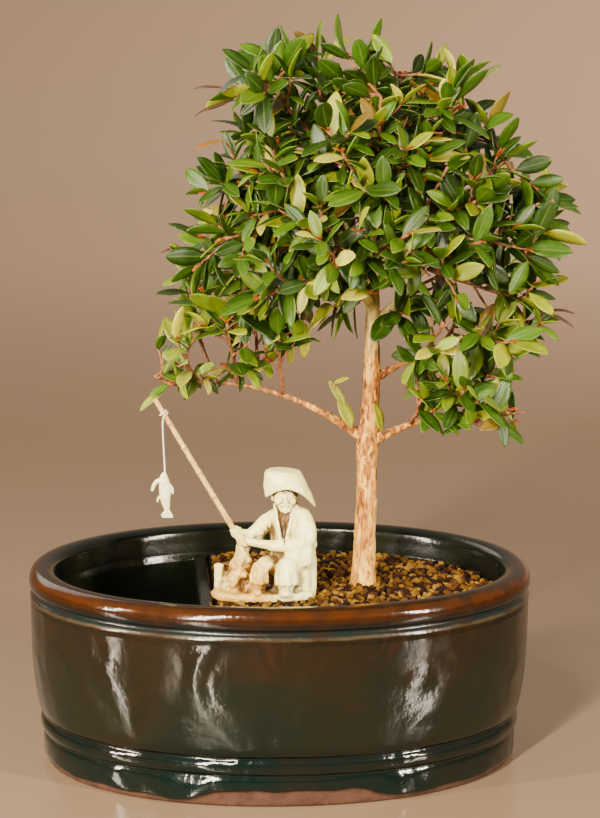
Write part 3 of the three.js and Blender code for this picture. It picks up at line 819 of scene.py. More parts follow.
def makeBarkMaterial():
    material, tree, shader = newMaterial("bark")
    place = objectPlace(tree, scale=(1, 1, 0.3))
    broad = noiseOf(tree, place, 190, 5, 0.62, 0.4)
    flakes = noiseOf(tree, place, 620, 6, 0.66, 0.7)
    height = node(tree, "SeparateXYZ", {"Vector": objectPlace(tree)}).outputs["Z"]
    upward = times(tree, height, 4)
    clean = ramp(tree, upward, [(0.32, 0.08), (0.46, 0)])
    color = ramp(tree, plus(tree, flakes, clean), [
        (0.36, (0.06, 0.02, 0.004)),
        (0.46, (0.36, 0.135, 0.013)),
        (0.56, (0.84, 0.45, 0.06)),
        (0.72, (0.97, 0.68, 0.14)),
    ])
    tint = ramp(tree, broad, [(0.42, (0.5, 0.27, 0.12)), (0.56, (1, 0.94, 0.8))])
    color = blendColors(tree, 0.75, color, tint, "MULTIPLY")
    # the trunk's top under the crown is made lighter and yellower: a moss tint, and painted light against the
    # crown's shade
    mossAndPaintedLight = times(tree, ramp(tree, upward, [(0.62, 0), (0.8, 1.7)]), broad)
    color = blendColors(tree, mossAndPaintedLight, color, (1, 0.95, 0.36))
    young = attributeParts(tree, "young")[0]
    color = blendColors(tree, young, color, blendColors(tree, broad, (0.16, 0.055, 0.02), (0.4, 0.2, 0.09)))
    setSockets(tree, shader, {
        "Base Color": color,
        "Normal": bump(tree, flakes, 0.85, 0.0006, bump(tree, broad, 0.5, 0.0012)),
        "Roughness": 0.8,
    })
    return material


def makeWood(setup):
    bm = bmesh.new()
    heights = [44 + 2 * i for i in range(95)]

    def wander(z, seed):
        return 0.35 * noise.noise(Vector((z * 0.045, seed, 0)))

    loftRings(bm, tubeRings(
        [(onTrunk(z) + Vector((wander(z, 3), wander(z, 9), 0))) * mm for z in heights],
        [trunkRadius(z) * mm for z in heights], 20,
    ))
    for limb in limbs:
        count = 22
        shares = [i / count for i in range(count + 1)]
        collar = [1.1 * math.exp(-share * 9) for share in shares]
        loftRings(bm, tubeRings(
            [curveAt(limb, share) * mm for share in shares],
            [(mixed(limb["radius"], 1.0, share) + swell) * mm for share, swell in zip(shares, collar)], 12,
        ))
    bmesh.ops.recalc_face_normals(bm, faces=bm.faces)
    fused = fusedMesh(bm, "wood", setup["voxel"], 3)
    bm = bmesh.new()
    bm.from_mesh(fused)
    young = colorLayer(bm, "young")
    bm.normal_update()
    places = []
    for vert in bm.verts:
        x, y, z = vert.co / mm
        off = math.hypot(x - setup["heart"][0], y - setup["heart"][1])
        thick = clamped(1 - (off - 5) / 14)  # bark is smoother out along the limbs
        cell = Vector((x * 0.42, y * 0.42, z * 0.2))
        flake = noise.noise(cell) + 0.5 * noise.noise(cell * 2.3 + Vector((5, 0, 0)))
        ridge = 1 - abs(noise.noise(Vector((x * 0.3, y * 0.3, z * 0.07)) * 2)) * 2.2
        grow = setup["flake"] * (0.75 * flake + 0.3 * ridge) * mixed(0.3, 1, thick) - 0.35 * (1 - thick)
        places.append(vert.co + vert.normal * (grow * mm))
        vert[young] = (clamped((off - 22) / 50), 0, 0, 1)
    for vert, place in zip(bm.verts, places):
        vert.co = place
    mesh = meshOf(bm, "trunkAndLimbs")
    return linkPiece("trunkAndLimbs", mesh, makeBarkMaterial(), ["trunk_and_limbs"])


wood = makeWood(treeSetup)
print("wood made,", len(wood.data.polygons), "faces")


# The leaves

leafSetup = {
    "length": 19,
    "width": 7.6,
    "fold": 0.5,
    "thickness": 0.24,
    "pairs": (0.38, 0.63, 0.88),
    "shown": 0.93,
    "edgeSprays": [
        # ends of more sprays at the tree's outline, where the photo shows them
        (-12.3, -2, 272), (-3.7, 14, 274), (-15.5, 10, 264), (-8, -8, 264), (4, 4, 277),
        (14, 12, 277), (24.7, -2, 277.5), (36, 10, 278.5), (30.6, -10, 273), (42, 0, 274),
        (56, 4, 267), (66, -4, 268), (72, 12, 263.5), (62, -12, 260),
        (81, 2, 250), (86, 14, 243), (98, 2, 228), (104, 12, 222), (104, -4, 214), (100, 8, 206), (97, -6, 198),
        (-25, 0, 213), (-30, 12, 206), (-32, -6, 198), (-36.5, 4, 192.5), (-30.5, -10, 187), (-25, 10, 183),
        (19.7, -4, 181), (27, 6, 179), (47.7, -2, 178), (12, 8, 186),
    ],
    "lowSprays": [  # small ones close to the left limb
        (-47, -3, 155), (-42, -5, 152), (-36, 5, 152.5), (-30, -6, 153.5), (-21, 6, 155.5), (-13, -5, 157),
        (-6, 4, 159), (-1, -4, 160), (-45, 6, 158),
    ],
    "fillSprays": [  # and some more at the outline
        (59.5, 2, 273), (22, -8, 269), (-23.5, 0, 229), (-22.5, 5, 218), (99, -4, 189), (52, -6, 160),
        (26, -10, 264), (103, 2, 211),
    ],
    "leftEnd": -47,
    "padEdges": (49, 94),  # the right pad's sides, below 158
    "gaps": [
        # where the photo shows the background through the leaves: x, z and half sizes
        (-29, 162, 8.5, 5), (79, 183.5, 5, 6), (73, 187, 4, 4), (59, 193, 5, 4), (43.5, 182, 3.5, 5),
        (4, 153, 8, 8), (-9, 165, 4, 5), (35, 177.5, 4.5, 7.5),
        (47.5, 281, 6.5, 11), (81, 264, 4, 5), (-23.5, 271, 4, 7), (67.5, 170, 3.5, 5), (85, 123.5, 6, 4.5),
    ],
    "innerSprays": 62,
    "loneLeaves": [
        # root, tip, width, how young, how dry
        ((-15.8, 2, 261.3), (-34.6, 2, 257.8), 1.8, 0.6, 1),
        ((-21.2, 0, 265.1), (-33.9, 0, 267.4), 1.6, 0.6, 0.9),
        ((-22, 1, 245.5), (-35, 0, 243.6), 2.6, 0.6, 0.25),
        ((-4.5, -3, 275.5), (-15.6, -3, 284), 6.4, 0.42, 0),
        ((-37, -2, 192.5), (-47.2, -2, 190.8), 4.4, 0.55, 0),
        ((98, -6, 220.5), (115.3, -6, 223.2), 6.4, 0.3, 0),
        ((99, -8, 214), (112.6, -8, 213), 6, 0.36, 0),
        ((77.5, -4, 249.5), (88, -4, 257.8), 6.6, 0.4, 0),
        ((87.5, -4, 165.2), (103, -4, 163), 5, 0.28, 0),
        ((85, -6, 152.6), (95.4, -6, 153.6), 4.6, 0.45, 0),
        ((55, -6, 149), (47.4, -6, 145.6), 4.2, 0.45, 0),
        ((-36.5, 2, 203.6), (-47.5, 2, 203.4), 1.7, 0.6, 0.95),
        ((103.5, 0, 178), (117, 0, 174), 2, 0.6, 0.95),
        ((103.5, 1, 178.3), (116.5, 1, 179.4), 1.7, 0.6, 0.95),
        ((25.9, 2, 276.4), (35.5, 2, 279.5), 1.6, 0.6, 0.9),
        ((-6, -4, 170), (-5, -5, 157), 3, 0.6, 0.75),
        ((-14, 2, 172), (-15.5, 1, 158.5), 2.8, 0.6, 0.7),
        ((2, -2, 170), (4.5, -3, 158), 3.4, 0.7, 0.1),
        ((9.5, -3, 174), (8, -4, 160.5), 4.6, 0.82, 0),
        ((-43.5, 0, 149.6), (-57, -2, 141.5), 3.6, 0.7, 0.05),
        ((-43.5, 0, 149.6), (-52, -4, 147.5), 3.4, 0.5, 0),
        ((28.4, 2, 131), (24.2, -1, 143.6), 7.6, 0.8, 0.04),
        ((26, 2, 138), (20.6, 0, 151.5), 4.4, 0.72, 0.06),
        ((20.8, 1, 149.5), (26.5, 0, 152.8), 3.2, 0.8, 0.04),
        ((40.6, 4, 129), (38.6, 0, 141.5), 5, 0.82, 0),
        ((87, -2, 132), (97.5, -3, 127.2), 6.4, 0.42, 0),
        ((76, -6, 136), (62.5, -8, 132.5), 6, 0.36, 0),
    ],
    "attempts": 12,
    "outline": [
        (0, 0.1), (0.1, 0.17), (0.22, 0.62), (0.36, 0.9), (0.52, 1), (0.68, 0.95),
        (0.82, 0.72), (0.93, 0.38), (1, 0.04),
    ],
}


def leafAt(spray, pair, side, attempt, shares, size=1.0):
    # a leaf of a pair, each pair crosswise to the one before; the last leaf goes on along the twig
    key = (spray["number"], pair, side, attempt)
    atEnd = pair == len(shares)
    share = 1 if atEnd else shares[pair]
    root = curveAt(spray, share)
    along, across, above = curveFrame(spray, share)
    looser = 1 + 0.35 * attempt
    turned = spray["turn"] + 90 * pair + 180 * side + 34 * looser * (draw(*key, 1) - 0.5)
    leant = (12 if atEnd else 64 - 6 * pair) + 20 * looser * (draw(*key, 2) - 0.5)
    turn, lean = math.radians(turned), math.radians(leant)
    outward = across * math.cos(turn) + above * math.sin(turn)
    facing = along * 0.75 + Vector((0, 0, 0.7)) - outward * 0.35
    facing.x += 0.5 * (draw(*key, 3) - 0.5)
    facing.y += 0.5 * (draw(*key, 4) - 0.5)
    size *= mixed(0.8, 1.14, draw(*key, 5)) * (0.85 if attempt > 6 else 1)
    return {
        "root": root + outward * (0 if atEnd else -0.2) + along * (-0.6 if atEnd else 0),
        "direction": along * math.cos(lean) + outward * math.sin(lean),
        "facing": facing,
        "length": leafSetup["length"] * size,
        "width": leafSetup["width"] * size,
        "bend": mixed(0.04, 0.2, draw(*key, 6)),
        "key": key,
    }


def leafFrame(leaf):
    along = leaf["direction"]
    up = (leaf["facing"] - along * leaf["facing"].dot(along)).normalized()
    return along, up, along.cross(up)


def leafTip(leaf):
    along, up, _ = leafFrame(leaf)
    return leaf["root"] + along * leaf["length"] - up * (leaf["bend"] * leaf["length"])


def halfWidth(share):
    line = leafSetup["outline"]
    for (a, low), (b, high) in zip(line, line[1:]):
        if share <= b:
            return mixed(low, high, (share - a) / (b - a))
    return line[-1][1]


def roughBlade(leaf):
    # a few points and faces, enough to tell whether two leaves cross
    along, up, side = leafFrame(leaf)
    points = []
    for share in (0.12, 0.4, 0.7, 0.97):
        half = leaf["width"] / 2 * halfWidth(share)
        sink = leaf["bend"] * leaf["length"] * share ** 2
        middle = leaf["root"] + along * (share * leaf["length"]) - up * sink
        points += [middle - side * half, middle + side * half]
    faces = [(i, i + 1, i + 3, i + 2) for i in (0, 2, 4)]
    return BVHTree.FromPolygons(points, faces)


class LeafRoom:
    # the leaves placed so far, to keep the next one clear of them
    def __init__(self):
        self.cells = {}

    def cellOf(self, leaf):
        middle = (leaf["root"] + leafTip(leaf)) / 2
        return tuple(math.floor(v) for v in middle / 22)  # wider than a leaf is long

    def near(self, leaf):
        x, y, z = self.cellOf(leaf)
        steps = (-1, 0, 1)
        for dx, dy, dz in ((dx, dy, dz) for dx in steps for dy in steps for dz in steps):
            yield from self.cells.get((x + dx, y + dy, z + dz), ())

    def add(self, leaf):
        self.cells.setdefault(self.cellOf(leaf), []).append(leaf.get("blade") or roughBlade(leaf))

    def isFree(self, leaf):
        leaf["blade"] = roughBlade(leaf)
        return not any(leaf["blade"].overlap(other) for other in self.near(leaf))


leafRoom = LeafRoom()


def modelledLeaves(spray):
    # the leaves that the solid model kept: their tips are corners of the spray's node
    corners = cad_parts[spray["name"]].data.vertices
    tree = kdtree.KDTree(len(corners))
    for i, corner in enumerate(corners):
        tree.insert(corner.co, i)
    tree.balance()
    kept = []
    for place in range(2 * len(leafSetup["pairs"]) + 1):
        for attempt in range(leafSetup["attempts"]):
            leaf = leafAt(spray, place // 2, place % 2, attempt, leafSetup["pairs"])
            if tree.find(leafTip(leaf) * mm)[2] < 0.06 * mm:
                kept.append(leaf)
                leafRoom.add(leaf)
                break
    return kept


def sideShoots(spray, count, number):
    # short shoots from the twig, with smaller leaves
    shoots = []
    for j in range(count):
        share = mixed(0.3, 0.78, (j + draw(number, j, 21)) / count)
        root = curveAt(spray, share)
        along, across, above = curveFrame(spray, share)
        turn = math.radians(spray["turn"] + 45 + 360 * j / count + 50 * (draw(number, j, 22) - 0.5))
        lean = math.radians(mixed(38, 60, draw(number, j, 23)))
        way = along * math.cos(lean) + (across * math.cos(turn) + above * math.sin(turn)) * math.sin(lean)
        way = (way + Vector((0, 0, 0.25))).normalized()
        end = root + way * mixed(8, 15, draw(number, j, 24))
        shoots.append(newShoot(1000 + number * 10 + j, root, end, 0.8, 360 * draw(number, j, 25)))
    return shoots


def innerSprays(count):
    # shorter sprays inside the crown, between the ones that reach its outside
    crown = [limb for limb in limbs if limb["name"] == "crown"]
    made = []
    for k in range(count):
        direction = evenDirection(k, count, -0.55, 1.3)
        limb = max(crown, key=lambda other: other["direction"].dot(direction))
        end = crownPoint(direction, mixed(0.62, 0.86, draw(k, 31)))
        start = curveAt(limb, mixed(0.35, 0.9, draw(k, 32)))
        made.append(newShoot(3000 + k, start, end, 1.5, 360 * draw(k, 33)))
    return made


def seenAt(point):
    # where the camera sees the point on the upright plane through the trunk
    eye = bpy.context.scene.camera.location / mm
    return eye + (point - eye) * ((treeSetup["heart"][1] - eye.y) / (point.y - eye.y))


def isInOutline(leaf):
    tip = seenAt(leafTip(leaf))
    if tip.x < leafSetup["leftEnd"] - (4 if tip.z > 182 else 0) and tip.z < 220:
        return False
    padLeft, padRight = leafSetup["padEdges"]
    if tip.z < 158 and tip.x > 20 and not padLeft < tip.x < padRight:
        return False
    for share in (0.2, 0.6, 1):
        point = seenAt(leaf["root"].lerp(leafTip(leaf), share))
        for x, z, wide, high in leafSetup["gaps"]:
            if math.hypot((point.x - x) / wide, (point.z - z) / high) < 1:
                return False
    return True


def freeLeaves(spray, shares, size):
    kept = []
    for place in range(2 * len(shares) + 1):
        for attempt in range(8):
            leaf = leafAt(spray, place // 2, place % 2, attempt, shares, size)
            if isInOutline(leaf) and leafRoom.isFree(leaf):
                kept.append(leaf)
                leafRoom.add(leaf)
                break
    return kept


def leafTone(leaf):
    # from dark old leaves to pale young ones, with leaves low on the left painted paler as painted light; how
    # bright, and how red or dry
    if "tone" in leaf:
        return leaf["tone"]
    age, chance = draw(*leaf["key"], 41), draw(*leaf["key"], 43)
    x, _, z = leaf["root"]
    # leaves low on the left are painted paler: painted light where the left side is lit; leaves of the low
    # right pad are made paler too
    litLowLeft = clamped((20 - x) / 70) * clamped((230 - z) / 60)
    lowRight = 0.7 * clamped((x - 45) / 15) * clamped((200 - z) / 25)
    pale = litLowLeft + lowRight
    young = 0.08 + 0.42 * age ** 1.4 + (0.1 if leaf["key"][1] >= 2 else 0) + 0.22 * pale
    if chance > 0.97 - 0.03 * pale:
        young = 0.95
    elif chance > 0.86 - 0.14 * pale:
        young = mixed(0.6, 0.8, age)
    dry = 0.2 if chance < 0.03 else 0
    return (young, draw(*leaf["key"], 42), dry, 1)


def makeLeafMaterial():
    material, tree, shader = newMaterial("leaves")
    tone = attributeParts(tree, "leafTone")
    uv = node(tree, "TexCoord").outputs["UV"]
    across, along, _ = node(tree, "SeparateXYZ", {"Vector": uv}).outputs
    off = reckoned(tree, "ABSOLUTE", minus(tree, across, 0.5))
    blotch = noiseOf(tree, objectPlace(tree), 260, 3)
    color = ramp(tree, plus(tree, tone[0], aboutNothing(tree, blotch, 0.25)), [
        (0.0, (0.006, 0.02, 0.001)),
        (0.22, (0.016, 0.05, 0.001)),
        (0.45, (0.05, 0.12, 0.002)),
        (0.68, (0.18, 0.25, 0.003)),
        (0.88, (0.42, 0.4, 0.01)),
        (1.0, (0.66, 0.6, 0.09)),
    ])
    bright = ramp(tree, tone[1], [(0, (0.42, 0.46, 0.46)), (1, 1.2)])
    color = blendColors(tree, 1, color, bright, "MULTIPLY")
    rib = ramp(tree, off, [(0.0, 1), (0.05, 0)])
    color = blendColors(tree, times(tree, rib, 0.35), color, (0.2, 0.27, 0.03))
    skewed = minus(tree, times(tree, along, 11), times(tree, off, 9))
    veins = reckoned(tree, "ABSOLUTE", minus(tree, reckoned(tree, "FRACT", skewed), 0.5))
    veinMark = ramp(tree, veins, [(0.0, 1), (0.16, 0)])
    color = blendColors(tree, times(tree, veinMark, 0.12), color, (0.14, 0.26, 0.02))
    edge = ramp(tree, off, [(0.42, 0), (0.5, 1)])
    color = blendColors(tree, times(tree, edge, 0.06), color, (0.26, 0.3, 0.03))
    stalk = ramp(tree, along, [(0.04, 1), (0.13, 0)])
    color = blendColors(tree, times(tree, stalk, 0.7), color, (0.34, 0.12, 0.03))
    turned = ramp(tree, tone[2], [
        (0.2, (0.16, 0.085, 0.006)),
        (0.55, (0.36, 0.06, 0.006)),
        (0.8, (0.075, 0.026, 0.008)),
        (1, (0.05, 0.017, 0.006)),
    ])
    tips = times(tree, ramp(tree, along, [(0.86, 0), (0.97, 1)]), ramp(tree, tone[1], [(0.6, 0), (0.75, 1)]))
    color = blendColors(tree, times(tree, tips, 0.75), color, (0.2, 0.075, 0.012))
    color = blendColors(tree, ramp(tree, tone[2], [(0, 0), (0.25, 1)]), color, turned)
    ridge = bump(tree, plus(tree, veinMark, rib), 0.25, 0.0003)
    setSockets(tree, shader, {
        "Base Color": color,
        "Roughness": ramp(tree, blotch, [(0.3, 0.28), (0.7, 0.44)]),
        "Normal": bump(tree, blotch, 0.2, 0.0006, ridge),
        "Subsurface Weight": 0.18,
        "Subsurface Radius": (0.5, 1, 0.2),
        "Subsurface Scale": 0.0015,
    })
    return material


leafMaterial = makeLeafMaterial()


def addBlade(bm, leaf):
    toneLayer = colorLayer(bm, "leafTone")
    bm.loops.layers.uv.verify()
    along, up, side = leafFrame(leaf)
    grid = bmesh.ops.create_grid(bm, x_segments=4, y_segments=8, size=1, calc_uvs=True)["verts"]
    shares = [share for share, _ in leafSetup["outline"]]
    curl, twist = 0.5 * (draw(*leaf["key"], 51) - 0.35), 0.5 * (draw(*leaf["key"], 52) - 0.5)
    ripple = 6.3 * draw(*leaf["key"], 53)
    tone = leafTone(leaf)
    for vert in grid:
        across, share = vert.co.x, shares[round((vert.co.y + 1) * 4)]
        half = leaf["width"] / 2 * halfWidth(share)
        rise = leafSetup["fold"] * (abs(across) ** 1.4) * half / (leaf["width"] / 2)
        rise += curl * across * across * half * 0.35 + 0.14 * abs(across) * math.sin(ripple + 9 * share)
        rise += across * half * twist * share
        vert.co = (
            leaf["root"] + along * (share * leaf["length"]) + side * (across * half)
            + up * (rise - leaf["bend"] * leaf["length"] * share ** 2)
        ) * mm
        vert[toneLayer] = tone


def addTwig(bm, twig):
    spray, ends = twig
    shares = [i / 7 for i in range(8)]
    points = [curveAt(spray, share) * mm for share in shares]
    for i in range(1, 7):
        points[i] += Vector([(draw(spray["number"], i, axis, 61) - 0.5) * 0.7 * mm for axis in range(3)])
    radii = [(mixed(*ends, share) + 0.12 * (i % 2)) * mm for i, share in enumerate(shares)]
    loftRings(bm, tubeRings(points, radii, 6))


def makeTwigMaterial():
    material, tree, shader = newMaterial("twigs")
    place = objectPlace(tree)
    mark = noiseOf(tree, place, 700, 4, 0.6)
    color = ramp(tree, mark, [(0.35, (0.11, 0.036, 0.014)), (0.65, (0.34, 0.13, 0.05))])
    setSockets(tree, shader, {
        "Base Color": color,
        "Normal": bump(tree, mark, 0.5, 0.0004),
        "Roughness": 0.6,
    })
    return material


def nearestOnWood(place, twigs):
    grown = [spray for spray, _ in twigs] + limbs
    points = [curveAt(part, share / 10) for part in grown for share in range(2, 11)]
    return min(points, key=lambda point: (point - place).length)


def singleLeaf(root, tip, width, tone, number, facing=(0, -0.5, 1), bend=0.12):
    along = tip - root
    return {
        "root": root, "direction": along.normalized(), "facing": Vector(facing), "length": along.length,
        "width": width, "bend": bend, "key": (number, 0, 0, 0), "tone": tone,
    }


def growFoliage():
    # every leaf by the part of the tree that it is on, and every twig
    groups = {"left": [], "right": [], "crownFront": [], "crownBack": []}
    twigs = []
    bareSpray = "left_spray_1"  # a short shoot that has only lone leaves

    def keep(leaf, name):
        if name == "crown":
            name = "crownFront" if leaf["root"].y < 8 else "crownBack"
        groups[name.split("_")[0]].append(leaf)

    for spray in sprays:
        name = spray["name"].split("_spray")[0]
        bare = spray["name"] == bareSpray
        twigs.append(({**spray, "end": curveAt(spray, 0.5)} if bare else spray, (0.8, 0.5)))
        for leaf in modelledLeaves(spray):
            leaf["length"] *= leafSetup["shown"]
            leaf["width"] *= leafSetup["shown"]
            if isInOutline(leaf) and not bare:
                keep(leaf, name)
    sizes = {"edgeSprays": 0.9, "lowSprays": 0.55, "fillSprays": 0.8}
    wanted = [(Vector(end), size) for kind, size in sizes.items() for end in leafSetup[kind]]
    for k, (end, size) in enumerate(wanted):
        start = nearestOnWood(end, twigs[:len(sprays)])
        spray = newShoot(4000 + k, start, end, 1, 360 * draw(k, 81))
        leaves = freeLeaves(spray, (0.35, 0.62, 0.92), size)
        twigs.append((spray, (0.6, 0.42)))
        for leaf in leaves:
            keep(leaf, "left" if end.x < -20 and end.z < 195 else "crown")
    for spray in sprays:
        name = spray["name"].split("_spray")[0]
        for shoot in sideShoots(spray, 0 if spray["name"] == bareSpray else 3, spray["number"]):
            leaves = freeLeaves(shoot, (0.42, 0.7, 0.96), 0.7)
            if len(leaves) > 1:
                twigs.append((shoot, (0.5, 0.36)))
                for leaf in leaves:
                    keep(leaf, name)
    for spray in innerSprays(leafSetup["innerSprays"]):
        leaves = freeLeaves(spray, (0.34, 0.52, 0.7, 0.9), 0.78)
        if len(leaves) > 1:
            twigs.append((spray, (0.75, 0.45)))
            for leaf in leaves:
                keep(leaf, "crown")
    for spray, _ in list(twigs):  # a tiny red pair opens at the end of many shoots
        number, end = spray["number"], curveAt(spray, 1)
        lastPart = singleLeaf(curveAt(spray, 0.8), end, 1, None, 0)
        if draw(number, 71) < 0.6 and isInOutline(lastPart):
            group = "left" if end.x < -8 and end.z < 185 else "right" if end.x > 60 and end.z < 175 else "crown"
            along, across, _ = curveFrame(spray, 1)
            ahead, aside = mixed(2.6, 4.4, draw(number, 72)), mixed(1, 2.4, draw(number, 73))
            tone = (0.5, 0.5, mixed(0.42, 0.62, draw(number, 74)), 1)
            for side in (-1, 1):
                tip = end + along * ahead + across * (side * aside)
                keep(singleLeaf(end - along * 0.4, tip, 1.7, tone, 7000 + number), group)
    for i, (root, tip, width, young, dryness) in enumerate(leafSetup["loneLeaves"]):
        root, tip = Vector(root), Vector(tip)
        twigs.append((newShoot(6000 + i, nearestOnWood(root, twigs), root, -0.6), (0.45, 0.4)))
        group = "crown" if root.z >= 160 else "left" if root.x < 45 else "right"
        keep(singleLeaf(root, tip, width, (young, 0.7, dryness, 1), 6100 + i, bend=0.2), group)
    return groups, twigs


def makeFoliage():
    groups, twigs = growFoliage()
    twigMesh = gathered("twigs", twigs, addTwig)
    linkPiece("twigs", twigMesh, makeTwigMaterial(), [spray["name"] for spray in sprays])
    pieces = []
    for group, leaves in groups.items():
        name = group + "Leaves"
        piece = linkPiece(name, gathered(name, leaves, addBlade), leafMaterial)
        wall = piece.modifiers.new("thickness", "SOLIDIFY")
        wall.thickness, wall.offset = leafSetup["thickness"] * mm, 0
        print(group, "leaves:", len(leaves))
        pieces.append(piece)
    return pieces


leafPieces = makeFoliage()
print("foliage made")


# The fisherman

figureSetup = {
    "voxel": 0.42,
    "fineVoxel": 0.2,
    "baseMiddle": (-6.5, -9.5),
    "baseReach": [20, 18.5, 15.5, 13, 14.5, 19, 21.5, 22, 19, 16.5, 18, 20.5],  # every 30 degrees
    "baseTop": 69.6,
    "folds": 11,
    "foldDepth": 0.55,
}


def addBall(bm, middle, radii, tilt=(0, 0, 0), detail=3):
    tiltX, tiltY, tiltZ = (Matrix.Rotation(angle, 4, axis) for angle, axis in zip(tilt, "XYZ"))
    place = Matrix.Translation(Vector(middle) * mm) @ (tiltX @ tiltY @ tiltZ)
    place = place @ Matrix.Diagonal((*radii, 1)) @ Matrix.Scale(mm, 4)
    bmesh.ops.create_icosphere(bm, subdivisions=detail, radius=1, matrix=place)


def addRod(bm, points, radii, sides=14, flatten=1.0):
    # a smooth round bar through a few points, with round ends
    route = smoothRoute([Vector(point) for point in points], 6)
    steps = len(route) - 1
    sizes = []
    for i in range(steps + 1):
        at = i / steps * (len(radii) - 1)
        k = min(int(at), len(radii) - 2)
        share = at - k
        sizes.append(mixed(radii[k], radii[k + 1], share * share * (3 - 2 * share)) * mm)
    loftRings(bm, tubeRings([point * mm for point in route], sizes, sides, flatten))
    addBall(bm, route[0], [radii[0]] * 3, detail=2)
    addBall(bm, route[-1], [radii[-1]] * 3, detail=2)


def tiltedRing(x, y, z, rx, ry, tiltX=0.0, tiltY=0.0, sides=64, folds=0, depth=0.0, phase=0.0, saddle=0.0):
    ring = []
    for i in range(sides):
        turn = 2 * math.pi * i / sides
        swell = 1 + depth / rx * math.sin(folds * turn + phase + 0.6 * math.sin(3 * turn))
        dx, dy = rx * swell * math.cos(turn), ry * swell * math.sin(turn)
        rise = saddle * (math.sin(turn) ** 2 - 0.5)
        ring.append(Vector((x + dx, y + dy, z + tiltX * dx + tiltY * dy + rise)) * mm)
    return ring


